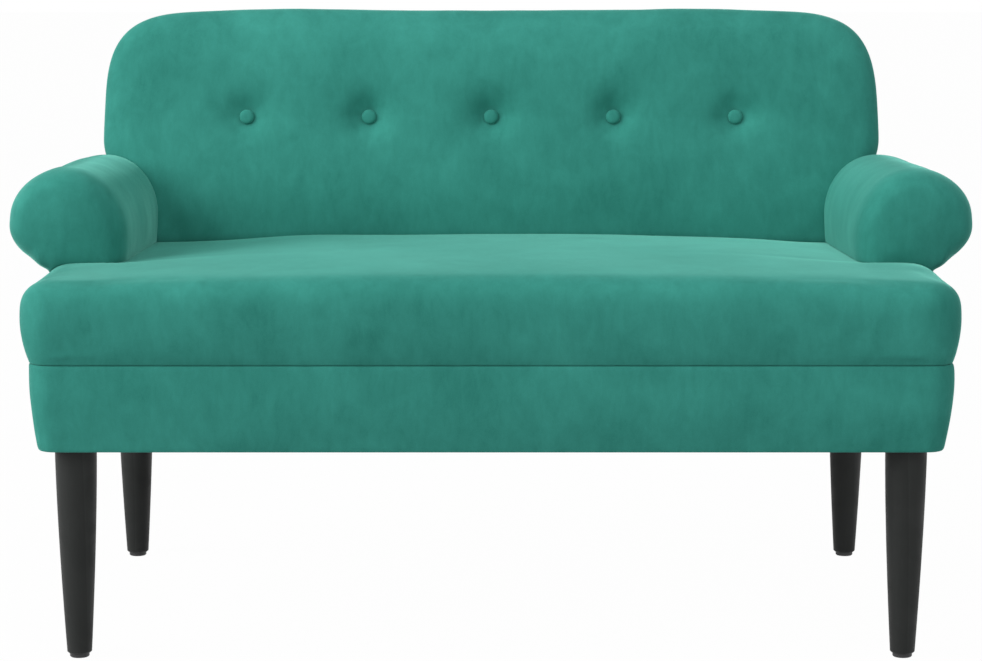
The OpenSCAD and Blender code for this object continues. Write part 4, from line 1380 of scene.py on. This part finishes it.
        loops = [loop(drawn(self.section(self.edge_r), share),
                      s.arm_y - self.pillow * (1 - share ** self.end_power)) for share in self.end_shares]
        for share in 1 - np.cos(np.radians(np.linspace(0, 90, self.edge_points))):
            draw = self.edge_r * (1 - (1 - (1 - share) ** self.edge_power) ** (1 / self.edge_power))
            loops.append(loop(self.section(draw), s.arm_y + self.edge_depth * share))
        steps = round((s.back_y - s.arm_y - self.edge_depth) / self.step)
        (_, first_gap), *_, (last_draw, _) = self.rear_edge
        for share in np.linspace(0, 1, steps + 1)[1:-1]:
            outline = self.section(0.0, share)
            loops.append(loop(outline, shoulder_y + share * (rear_y(outline, first_gap) - shoulder_y)))
        for draw, gap in self.rear_edge:
            outline = self.section(draw, 1.0)
            loops.append(loop(outline, rear_y(outline, gap)))
        for share in reversed(self.end_shares):
            outline = drawn(self.section(last_draw, 1.0), share)
            loops.append(loop(outline, rear_y(outline, self.end_gap)))
        inner = self.section(self.wadding, self.pocket_share)
        inner[:, 1] = np.maximum(inner[:, 1], s.rim_z + self.pocket_foot)
        rear, front, edge = s.back_y - self.rear_gap, s.arm_y + self.board_y, self.pocket_edge
        shell = Shell()
        shell.tube(loops)
        hollow = shell.size
        shell.tube([loop(inner, y) for y in (rear, rear - edge, front + edge, front)])
        self.shape(shell.build(f"arm_cover_velvet_{side.word}", hollow), side, hollow)

    def shape(self, piece: Piece, side: Side, hollow: int) -> None:
        """Fills the cover, works its surface and dresses it.

        Args:
            piece: the cover.
            side: which arm.
            hollow: the first point of its pocket.
        """
        s, points = self.sizes, read(piece)
        over_rim = points[:, 2] - s.rim_z
        gap = s.base_y + s.back_y + over_rim * math.tan(s.back_lean) - points[:, 1]
        held = 1 - np.minimum(smooth_step(over_rim, *self.held_rim), smooth_step(gap, *self.held_rear))
        inside = np.arange(len(points)) >= hollow
        held[inside] = 1
        self.inflation.run(piece, held)
        soften(piece, (1 - held) * smooth_step(over_rim, *self.soft_span))
        points, normals = read(piece), read(piece, "normal")
        sink = s.sink(points[:, 0], points[:, 1] - s.base_y)
        points[:, 2] -= sink * (1 - smooth_step(over_rim, *self.sink_span)) * ~inside
        wave = swells(points, self.waves, side.value)
        set_places(piece, points + normals * (wave * (1 - held))[:, None])
        # Painted shade where the arm meets the seat and the back.
        edge = np.maximum(np.minimum(over_rim, gap), 0)
        paint_crease_shade(piece, np.exp(-edge / self.crease_shade_reach) * ~inside)
        self.clothe(piece, f"arm_cover_{side.word}")


@dataclass
class BackCover(Upholstery):
    """The back's velvet and wadding: crowned, drawn in at the buttons and wrapped round the frame."""

    step: float = 0.0072
    tuft_reach: float = 0.0185
    tuft_flat: float = 0.0085
    rear_r: float = 0.007
    wadding: float = 0.0155
    foot_fit: float = 0.0015
    pocket_w: float = 0.0195
    tuck: float = 0.006
    tuck_x: Span = (0.4, 0.5)
    tuck_v: Span = (0.1, 0.122)
    tuck_w: Span = (0.05, 0.09)
    dip_reach: float = 0.32
    fold_r: float = 0.017
    fold_h: float = 0.0005
    fold_reach: float = 0.01
    free_loops: int = 14
    corner_steps: int = 12
    side_steps: int = 8
    free_span: Span = (0.004, 0.03)
    sink_span: Span = (0.002, 0.05)
    waves: Waves = ((0.17, 31, 0.0012), (0.06, 32, 0.0003))
    # Painted shade at the back's foot on the seat and deep in the tufts round the buttons.
    crease_shade_reach: float = 0.005
    tuft_shade: float = 0.75
    inflation: Inflation = Inflation(pressure=4.0, cap=0.0034, stiffness=20.0, bending=0.5)

    def pull(self, x: Array, v: Array) -> Array:
        """Gives the pull of the nearest button, from 0 to 1."""
        gaps = np.min([np.hypot(x - b, v - self.sizes.button_v) for b in self.sizes.button_xs], axis=0)
        return np.exp(-(np.maximum(gaps - self.tuft_flat, 0) / self.tuft_reach) ** 2)

    def depth(self, x: Array, v: Array) -> Array:
        """Gives the depth of the front face behind the front plane.

        Args:
            x: places across.
            v: lengths up along the lean.

        Returns:
            The depths, below 0 where the face is crowned.
        """
        s = self.sizes
        across = 1 - np.minimum(np.abs(x) / (s.back_half_w - s.back_edge_r), 1) ** 4
        along = np.maximum(1 - np.abs(2 * v / s.back_l - 1) ** 3, 0)
        crown = -s.back_crown * across * along
        return crown + (s.tuft_floor - crown) * self.pull(x, v)

    def point(self, x: Array, v: Array, w: Array | float) -> Array:
        """Sets points of the back, with its foot level on the seat and its top edge a little dipped.

        Args:
            x: places across.
            v: lengths up along the lean.
            w: depths behind the front plane.

        Returns:
            The points in the settee's frame.
        """
        s = self.sizes
        x, v = s.shoulder(x, v)
        foot = w * math.tan(s.back_lean)
        dip = s.back_dip * np.maximum(2 * v / s.back_l - 1, 0)
        dip = dip * (1 - np.minimum(np.abs(x) / self.dip_reach, 1) ** 2)
        tuck = self.tuck * (1 - smooth_step(v, *self.tuck_v))
        tuck = tuck * (1 - smooth_step(np.asarray(w) + 0 * v, *self.tuck_w))
        return s.on_lean(x - np.sign(x) * tuck * smooth_step(np.abs(x), *self.tuck_x),
                         foot + v * (s.back_l - foot) / s.back_l - dip, w)

    def build(self) -> None:
        """Builds the cover: tufted face, rounded edge, side, rear edge and its pocket."""
        s = self.sizes
        half_l, r, edge_r = s.back_l / 2, s.back_corner_r, s.back_edge_r
        lattice = Lattice(*(grid_lines(half - r, self.step, self.corner_steps, extra) for half, extra in
                            ((s.back_half_w, s.button_xs), (half_l, (s.button_v - half_l,)))))
        foot = np.where(lattice.v < 0, np.maximum(np.abs(lattice.v) - 1, 0), 0)

        def drawn(draw: float, low: float, at: Array) -> tuple[Array, Array]:
            """Draws the back's outline in, and its foot by another draw.

            Args:
                draw: how far the outline is drawn in.
                low: how far the foot is drawn in.
                at: numbers of the grid's points to place.

            Returns:
                The places across and the lengths up along the lean.
            """
            sides = s.back_half_w - draw, half_l - draw, r - draw
            x, v = round_points(lattice.u[at], lattice.v[at], *sides, s.corner_power(lattice.v[at]))
            return x, v + half_l - foot[at] * low

        def loop(draw: float, w: float, fit: float = 0.0) -> Array:
            """Sets a loop drawn in from the back's outline at a depth, with its foot at its own height."""
            return self.point(*drawn(draw, draw - fit, lattice.edge), w)

        whole = np.arange(len(lattice.u))
        x, v = drawn(edge_r, edge_r, whole)
        shell = Shell()
        front = shell.put(self.point(x, v, self.depth(x, v)))
        shell.weave(front, lattice)
        loops = [loop(edge_r * (1 - math.sin(a)), edge_r * (1 - math.cos(a)))
                 for a in np.radians(np.linspace(0, 90, self.side_steps + 1)[1:])]
        loops += [loop(0.0, w) for w in np.linspace(edge_r, s.back_t - self.rear_r, self.side_steps + 1)[1:]]
        loops += [loop(self.rear_r * (1 - math.cos(a)), s.back_t - self.rear_r * (1 - math.sin(a)))
                  for a in np.radians((30, 60, 90))]
        loops += [loop(self.wadding, w, self.foot_fit)
                  for w in (s.back_t, s.back_t - 0.004, self.pocket_w + 0.03, self.pocket_w)]
        last = shell.run(loops, front[lattice.edge])
        shell.floor(last, lattice, self.point(*drawn(self.wadding, self.wadding - self.foot_fit, whole),
                                              self.pocket_w))
        face = np.zeros(shell.size)
        face[front] = 1 - smooth_step(self.pull(x, v), 0.55, 0.97)
        count = len(lattice.edge)
        for number in range(self.free_loops):
            start = len(front) + number * count
            face[start:start + count] = 1 - number / self.free_loops
        self.shape(shell.build("back_cover_velvet"), face, x, v)

    def shape(self, piece: Piece, face: Array, x: Array, v: Array) -> None:
        """Fills the cover, works its surface and dresses it.

        Args:
            piece: the cover.
            face: for each point, how free it is.
            x: places across of the points of the face.
            v: lengths up of the points of the face.
        """
        s, count = self.sizes, len(x)
        over_rim = read(piece)[:, 2] - s.rim_z
        free = face * smooth_step(over_rim, *self.free_span)
        self.inflation.run(piece, 1 - free)
        soften(piece, free)
        points, normals = read(piece), read(piece, "normal")
        points[:, 2] -= s.sink(points[:, 0], s.back_y) * (1 - smooth_step(over_rim, *self.sink_span))
        gather = np.zeros(len(points))
        for number, b in enumerate(s.button_xs):
            far, angle = np.hypot(x - b, v - s.button_v), np.arctan2(v - s.button_v, x - b)
            folds = np.sin(7 * angle + number * 1.7) + 0.6 * np.sin(4 * angle + number)
            gather[:count] += self.fold_h * folds * np.exp(-((far - self.fold_r) / self.fold_reach) ** 2)
        wave = swells(points, self.waves)
        set_places(piece, points + normals * (wave * free + gather)[:, None])
        # Painted shade at the foot of the back and deep in each tuft round a button.
        crease_shade, tuft = np.exp(-np.maximum(over_rim, 0) / self.crease_shade_reach), self.pull(x, v)
        crease_shade[:count] = np.maximum(crease_shade[:count], self.tuft_shade * smooth_step(tuft, 0.93, 0.999))
        paint_crease_shade(piece, crease_shade)
        self.clothe(piece, "back_cover")


@dataclass
class Buttons(Upholstery):
    """The covered buttons: domes of velvet turned under a rim, with faint folds at the rim."""

    radius: float = 0.0096
    height: float = 0.0047
    segments: int = 48
    sunk: float = 0.0002
    dome: Profile = ((0.35, 1.0), (0.62, 0.93), (0.82, 0.78), (0.94, 0.58), (1.0, 0.36), (0.985, 0.18),
                     (0.9, 0.05), (0.7, 0.0))
    folds: int = 15
    fold_share: float = 0.012

    def build(self) -> None:
        """Builds and dresses all the buttons as one piece."""
        s, shell = self.sizes, Shell()
        turn = np.linspace(0, 2 * math.pi, self.segments, endpoint=False)
        for middle in s.button_xs:
            loops = []
            for out, up in self.dome:
                fold = self.fold_share * np.sin(self.folds * turn + middle * 40)
                reach = self.radius * out * (1 + fold * smooth_step(np.array(out), 0.6, 1.0))
                loops.append(s.on_lean(middle + reach * np.cos(turn), s.button_v + reach * np.sin(turn),
                                       s.tuft_floor - self.sunk - up * self.height))
            shell.tube(loops)
        self.clothe(shell.build("back_buttons_velvet"), "back_buttons")


@dataclass
class OuterPanel(Upholstery):
    """The velvet-covered panel that closes the back, a little pillowed, inside the cover's rear edge."""

    draw: float = 0.0163
    front_w: float = 0.1105
    rear_w: float = 0.1185
    step: float = 0.014
    foot_gap: float = 0.001
    foot_drop: float = 0.0012
    foot_span: Span = (0.002, 0.05)
    bulge: float = 0.002
    corner_steps: int = 10
    waves: Waves = ((0.12, 41, 0.0004),)
    edge: Profile = ((0.0022, -0.0006), (0.0006, -0.0022), (0.0, -0.0045))

    def build(self) -> None:
        """Builds and dresses the panel: rear face, rounded edge, side and front face."""
        s, shell = self.sizes, Shell()
        a, r = s.back_half_w - self.draw, s.back_corner_r - self.draw
        low = self.rear_w * math.tan(s.back_lean) + self.foot_gap
        half = (s.back_l - self.draw - low) / 2
        lattice = Lattice(*(grid_lines(side - r, self.step, self.corner_steps) for side in (a, half)))

        def ring(inset: float, w: float, u: Array, v: Array) -> Array:
            """Sets points of the panel, drawn in by an inset at a depth."""
            x, y = round_points(u, v, a - inset, half - inset, r - inset, s.corner_power(v))
            return s.on_lean(*s.shoulder(x, y + low + half), w)

        x, y = round_points(lattice.u, lattice.v, 1.0, 1.0, 0.2)
        bulge = self.bulge * (1 - np.abs(x) ** 4) * (1 - np.abs(y) ** 4)
        rear = shell.put(ring(0.005, self.rear_w, lattice.u, lattice.v)
                         + bulge[:, None] * np.array([0, math.cos(s.back_lean), -math.sin(s.back_lean)]))
        shell.weave(rear, lattice)
        edge = [(inset, self.rear_w + w) for inset, w in self.edge]
        loops = [ring(inset, w, lattice.edge_u, lattice.edge_v)
                 for inset, w in (*edge, (0.0, self.front_w + 0.001), (0.001, self.front_w))]
        last = shell.run(loops, rear[lattice.edge])
        shell.floor(last, lattice, ring(0.001, self.front_w, lattice.u, lattice.v))
        piece = shell.build("back_outer_panel_velvet")
        points = read(piece)
        points += read(piece, "normal") * swells(points, self.waves)[:, None]
        foot = 1 - smooth_step(points[:, 2] - s.rim_z, *self.foot_span)
        points[:, 2] -= (s.sink(points[:, 0], s.back_y) + self.foot_drop) * foot
        set_places(piece, points)
        # No painted shade on the panel.
        paint_crease_shade(piece, 0 * points[:, 0])
        self.clothe(piece, "back_outer_panel")


# Repeated small pieces


class RowTree(NodeSheet):
    """A geometry tree that sets one small form at even steps along the edges of a path."""

    def __init__(self, name: str, sizes: dict[str, float]) -> None:
        """Makes the tree's sockets.

        Args:
            name: the tree's name.
            sizes: names of the size inputs and their usual values.
        """
        super().__init__(bpy.data.node_groups.new(name, "GeometryNodeTree"))
        face = self.tree.interface
        face.new_socket("Path", in_out="INPUT", socket_type="NodeSocketGeometry")
        for label, value in sizes.items():
            face.new_socket(label, in_out="INPUT", socket_type="NodeSocketFloat").default_value = value
        face.new_socket("Seed", in_out="INPUT", socket_type="NodeSocketInt").default_value = 7
        face.new_socket("Finish", in_out="INPUT", socket_type="NodeSocketMaterial")
        face.new_socket("Row", in_out="OUTPUT", socket_type="NodeSocketGeometry")
        self.given = self.add("NodeGroupInput").outputs
        self.result = self.add("NodeGroupOutput").inputs["Row"]

    def vector(self, *parts: object) -> Socket:
        """Joins three numbers or outputs into a vector."""
        return self.add("ShaderNodeCombineXYZ", dict(enumerate(parts))).outputs[0]

    def place(self, form: Socket, sway: float) -> Tree:
        """Sets the form along the path and ends the tree.

        Args:
            form: the geometry of one small form, long along X.
            sway: most that a form turns to either side, in radians.

        Returns:
            The finished tree.
        """
        curve = self.add("GeometryNodeMeshToCurve", {"Mesh": self.given["Path"]}).outputs["Curve"]
        steps = self.add("GeometryNodeResampleCurve", {"Curve": curve, "Length": self.given["Pitch"]},
                         mode="LENGTH")
        turn = self.add("FunctionNodeAlignRotationToVector",
                        {"Vector": self.add("GeometryNodeInputTangent").outputs[0]}, axis="X")
        chance = self.add("FunctionNodeRandomValue",
                          {0: (-sway,) * 3, 1: (sway,) * 3, "Seed": self.given["Seed"]},
                          data_type="FLOAT_VECTOR")
        euler = self.add("FunctionNodeEulerToRotation", {0: chance.outputs[0]})
        spin = self.add("FunctionNodeRotateRotation", {"Rotation": turn.outputs["Rotation"],
                                                       "Rotate By": euler.outputs[0]}, rotation_space="LOCAL")
        copies = self.add("GeometryNodeInstanceOnPoints", {"Points": steps.outputs["Curve"], "Instance": form,
                                                           "Rotation": spin.outputs["Rotation"]})
        real = self.add("GeometryNodeRealizeInstances", {0: copies.outputs[0]})
        painted = self.add("GeometryNodeSetMaterial",
                           {"Geometry": real.outputs[0], "Material": self.given["Finish"]})
        self.feed(self.result, painted.outputs[0])
        return self.tree


def stitch_tree() -> Tree:
    """Makes the tree for a row of hand stitches.

    Returns:
        The geometry tree.
    """
    row = RowTree("stitch_row", {"Pitch": 0.009, "Length": 0.0055, "Thickness": 0.0007})
    ball = row.add("GeometryNodeMeshUVSphere", {"Segments": 8, "Rings": 6, "Radius": 0.5})
    scale = row.vector(row.given["Length"], row.given["Thickness"], row.given["Thickness"])
    stretch = row.add("GeometryNodeTransform", {"Geometry": ball.outputs["Mesh"], "Scale": scale})
    return row.place(stretch.outputs["Geometry"], sway=0.12)


def staple_tree() -> Tree:
    """Makes the tree for a row of staples: a crown and two legs driven up into the wood.

    Returns:
        The geometry tree.
    """
    row = RowTree("staple_row", {"Pitch": 0.07, "Crown": 0.012, "Wire": 0.0009, "Leg": 0.006})
    crown, wire, leg = (row.given[label] for label in ("Crown", "Wire", "Leg"))
    join = row.add("GeometryNodeJoinGeometry")
    half, lift = row.times(row.math("SUBTRACT", crown, wire), 0.5), row.times(leg, 0.5)
    for sign in (0, -1, 1):
        cube = row.add("GeometryNodeMeshCube", {"Size": row.vector(*((wire, wire, leg) if sign else
                                                                     (crown, wire, wire)))})
        shift = row.vector(row.times(half, float(sign)), 0.0, lift) if sign else row.vector(0.0, 0.0, 0.0)
        move = row.add("GeometryNodeTransform", {"Geometry": cube.outputs["Mesh"], "Translation": shift})
        row.feed(join.inputs["Geometry"], move.outputs["Geometry"])
    return row.place(join.outputs["Geometry"], sway=0.06)


def along_paths(name: str, paths: Sequence[Array], tree: Tree, material: bpy.types.Material,
                values: dict[str, float]) -> Piece:
    """Runs a row tree over open paths and keeps the result as a plain mesh.

    Args:
        name: the new piece's name.
        paths: the points of each path.
        tree: the row tree.
        material: the row's material.
        values: sizes that differ from the tree's own.

    Returns:
        The mesh object.
    """
    edges, count = [], 0
    for path in paths:
        edges.extend((count + k, count + k + 1) for k in range(len(path) - 1))
        count += len(path)
    mesh = bpy.data.meshes.new(name)
    mesh.from_pydata(np.concatenate(paths).tolist(), edges, [])
    piece = add_object(name, mesh)
    row = piece.modifiers.new("Row", "NODES")
    row.node_group = tree
    values = {"Finish": material, **values}
    for item in tree.interface.items_tree:
        if item.name in values:
            row[item.identifier] = values[item.name]
    settle(piece)
    return piece


@dataclass
class SmallPieces(Upholstery):
    """Stitches round the outer panel and the staples that hold the dust cover."""

    stitch_draw: float = 0.0158
    stitch_w: float = 0.1192
    stitch_foot: float = 0.004
    stitch_turn: int = 20
    staple_in: float = 0.022
    staple_pitch: float = 0.07
    staple_counts: tuple[int, int] = (6, 3)
    staple_drop: float = 0.0004

    def panel_stitches(self) -> None:
        """Sews the outer panel to the cover's rear edge."""
        s, draw, w, thread = self.sizes, self.stitch_draw, self.stitch_w, self.finishes.seam_thread
        a, r = s.back_half_w - draw, s.back_corner_r - draw
        foot = w * math.tan(s.back_lean) + self.stitch_foot
        t = np.radians(np.linspace(0, 90, self.stitch_turn))
        right = np.column_stack([a - r + r * np.cos(t), s.back_l - draw - r + r * np.sin(t)])
        outline = np.concatenate([[[a, foot]], right, right[::-1] * [-1, 1], [[-a, foot]]])
        path = s.on_lean(outline[:, 0], outline[:, 1], w)
        dress(along_paths("back_panel_stitches", [path], stitch_tree(), thread, {}), thread, "thread")

    def dust_staples(self) -> None:
        """Sets the staples along the four edges of the underside."""
        s, steel = self.sizes, self.finishes.steel
        z = s.dust_z - self.staple_drop
        ends = np.array([-1, 1])
        x, y = (count * self.staple_pitch * ends for count in self.staple_counts)
        paths = []
        for sign in (-1, 1):
            paths.append(s.at(x, sign * (s.half_d - self.staple_in), z))
            paths.append(s.at(sign * (s.half_w - self.staple_in), y, z))
        piece = along_paths("dust_cover_staple_rows", paths, staple_tree(), steel,
                            {"Pitch": self.staple_pitch})
        dress(piece, steel, "zinc_steel", "dust_cover_staples")


@dataclass
class DustCover(Upholstery):
    """The black cloth under the base, which sags a little between the rails."""

    inset: float = 0.012
    thickness: float = 0.0008
    sag: float = 0.0025
    step: float = 0.012
    corner: float = 0.01
    rail: float = 0.05
    waves: Waves = ((0.09, 51, 0.0005),)
    wave_span: Span = (0.0002, 0.0015)

    def build(self) -> None:
        """Builds and dresses the sheet: upper face, lower face and the edge between."""
        s, shell = self.sizes, Shell()
        a, b = s.half_w - self.inset, s.half_d - self.inset
        lattice = Lattice(*(grid_lines(half - self.corner, self.step, 2) for half in (a, b)))
        x, y = round_points(lattice.u, lattice.v, a, b, self.corner)
        dip = self.sag * np.maximum(1 - (x / (a - self.rail)) ** 2, 0)
        dip *= np.maximum(1 - (y / (b - self.rail)) ** 2, 0)
        top = s.at(x, y, s.base_z - 0.0001 - dip)
        top[:, 2] += swells(top, self.waves) * smooth_step(dip, *self.wave_span)
        upper = shell.put(top)
        shell.weave(upper, lattice)
        lower = shell.put(top - [0, 0, self.thickness])
        shell.weave(lower, lattice)
        shell.bridge(upper[lattice.edge], lower[lattice.edge])
        piece = dress(shell.build("dust_cover_cloth"), self.finishes.dust_cloth, "dust_cloth", "dust_cover")


@dataclass
class FoamBlock:
    """A block of foam with soft edges, cut to the solid that it stands for."""

    finishes: Finishes
    voxel: float = 0.006
    rounds: int = 6

    def build(self, node: str, fill: float) -> None:
        """Builds and dresses one block.

        Args:
            node: the solid's name.
            fill: not used.
        """
        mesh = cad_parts[node].data.copy()
        piece = add_object(f"{node}_block", mesh)
        work = bmesh.new()
        work.from_mesh(mesh)
        bmesh.ops.remove_doubles(work, verts=work.verts, dist=1e-6)
        work.to_mesh(mesh)
        work.free()
        cells = piece.modifiers.new("Cells", "REMESH")
        cells.mode, cells.voxel_size = "VOXEL", self.voxel
        piece.modifiers.new("Soft", "SMOOTH").iterations = self.rounds
        settle(piece)
        dress(piece, self.finishes.foam, "foam", node)


# Kept solid parts


@dataclass
class FrameParts:
    """The solids that keep their own shape: the wooden frame, webbing, legs and fasteners."""

    finishes: Finishes

    def dress_all(self) -> None:
        """Gives every kept solid its material."""
        f = self.finishes
        for material, names in (
            (f.pine[Grain.ACROSS], ("seat_frame_front_rail", "seat_frame_rear_rail", "seat_corner_blocks",
                                    "back_top_rail", "back_middle_rail", "back_bottom_rail")),
            (f.pine[Grain.DEEP], ("seat_frame_side_rail_left", "seat_frame_side_rail_right",
                                  "seat_frame_cross_rail", "arm_top_rail_left", "arm_top_rail_right",
                                  "arm_base_rail_left", "arm_base_rail_right")),
            (f.pine[Grain.UPRIGHT], ("back_stile_left", "back_stile_right", "back_post_left",
                                     "back_post_right")),
            (f.plywood, ("arm_front_board_left", "arm_front_board_right", "arm_rear_board_left",
                         "arm_rear_board_right")),
            (f.webbing, ("seat_webbing_front_to_rear", "seat_webbing_side_to_side", "back_webbing")),
            (f.black_wood, ("leg_front_left", "leg_front_right", "leg_rear_left", "leg_rear_right")),
            (f.plastic, ("leg_glides", "back_button_toggles")),
            (f.thread, ("back_button_threads",)),
            (f.steel, ("seat_frame_screws", "leg_studs", "leg_t_nuts", "arm_bolts", "arm_bolt_washers",
                       "arm_bolt_t_nuts", "back_frame_screws", "back_bolts", "back_bolt_washers",
                       "back_bolt_t_nuts")),
        ):
            for name in names:
                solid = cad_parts[name]
                if solid.material_slots:
                    solid.material_slots[0].material = material
                else:
                    solid.data.materials.append(material)
                LOG.info("%s: %s", name, material.name)


# The studio


@dataclass
class Studio:
    """The pale floor, the soft lamps and the camera at the photograph's place."""

    sizes: Sizes
    focal_px: float = 2900.0
    image_w: float = 982.0
    sensor: float = 36.0
    distance: float = 3.291
    eye_z: float = 0.825
    pitch_down: float = 7.67
    leg_y: float = 0.2805
    floor_half: float = 30.0
    floor_grey: float = 0.62
    floor_white: float = 0.985
    room_level: float = 0.21

    def camera(self) -> None:
        """Sets the camera in front of the middle of the settee, a little above the seat."""
        data = bpy.data.cameras.new("camera")
        data.sensor_width = self.sensor
        data.lens = self.focal_px / self.image_w * self.sensor
        data.clip_start, data.clip_end = 0.1, 200.0
        camera = add_object("camera", data)
        camera.location = (0, self.sizes.base_y - self.leg_y - self.distance, self.eye_z)
        camera.rotation_euler = (math.radians(90 - self.pitch_down), 0, 0)
        bpy.context.scene.camera = camera

    def floor(self) -> None:
        """Lays the floor: white to the camera, with the settee's own shadow on it."""
        mesh = bpy.data.meshes.new("floor")
        h = self.floor_half
        mesh.from_pydata([(-h, -h, 0), (h, -h, 0), (h, h, 0), (-h, h, 0)], [], [(0, 1, 2, 3)])
        floor = add_object("floor", mesh)
        material = bpy.data.materials.new("studio_floor")
        sheet = fresh_sheet(material)
        pale = sheet.add("ShaderNodeBsdfDiffuse", {"Color": (self.floor_grey,) * 3})
        white = sheet.add("ShaderNodeEmission")
        surface = sheet.mixed(sheet.times(sheet.seen(), self.floor_white), pale, white)
        sheet.add("ShaderNodeOutputMaterial", {"Surface": surface})
        mesh.materials.append(material)

    def room(self) -> None:
        """Makes the room: white to the camera and an even soft light to the settee."""
        world = bpy.data.worlds.new("room")
        bpy.context.scene.world = world
        sheet = fresh_sheet(world)
        even, white = (sheet.add("ShaderNodeBackground", {"Color": (1, 1, 1), "Strength": level})
                       for level in (self.room_level, 1.0))
        sheet.add("ShaderNodeOutputWorld", {"Surface": sheet.mixed(sheet.seen(), even, white)})

    def lamp(self, name: str, place: Sequence[float], target: Sequence[float], size: tuple[float, float],
             power: float) -> None:
        """Hangs one soft lamp.

        Args:
            name: the lamp's name.
            place: where it hangs.
            target: the point that it faces.
            size: its width and height.
            power: its power in watts.
        """
        data = bpy.data.lights.new(name, "AREA")
        data.shape = "RECTANGLE"
        data.size, data.size_y = size
        data.energy = power
        lamp = add_object(name, data)
        lamp.location = place
        lamp.rotation_euler = (Vector(target) - Vector(place)).to_track_quat("-Z", "Y").to_euler()

    def build(self) -> None:
        """Sets up camera, floor, room and lamps."""
        self.camera()
        self.floor()
        self.room()
        self.lamp("top_lamp", (-0.3, -0.4, 2.9), (0, 0, 0.4), (2.4, 1.8), 22.0)
        self.lamp("left_lamp", (-4.6, -1.9, 2.9), (0, 0, 0.4), (3.6, 3.6), 270.0)
        self.lamp("front_lamp", (1.5, -3.1, 2.5), (0, 0, 0.5), (2.0, 1.6), 41.0)
        bpy.context.scene.view_settings.view_transform = "Standard"


def main() -> None:
    """Builds the settee piece by piece."""
    logging.basicConfig(level=logging.INFO, format="%(relativeCreated)7.0f ms  %(message)s")
    sizes = Sizes()
    Studio(sizes).build()
    finishes = Finishes()
    FrameParts(finishes).dress_all()
    foam = FoamBlock(finishes)
    foam.build("seat_foam", 0.9)
    foam.build("back_foam", 0.8)
    for side in Side:
        foam.build(f"arm_foam_{side.word}", 0.8)
    DustCover(sizes, finishes).build()
    BandCover(sizes, finishes).build()
    SeatCover(sizes, finishes).build()
    for side in Side:
        ArmCover(sizes, finishes).build(side)
    BackCover(sizes, finishes).build()
    Buttons(sizes, finishes).build()
    OuterPanel(sizes, finishes).build()
    small = SmallPieces(sizes, finishes)
    small.panel_stitches()
    small.dust_staples()


if __name__ == "__main__":
    main()
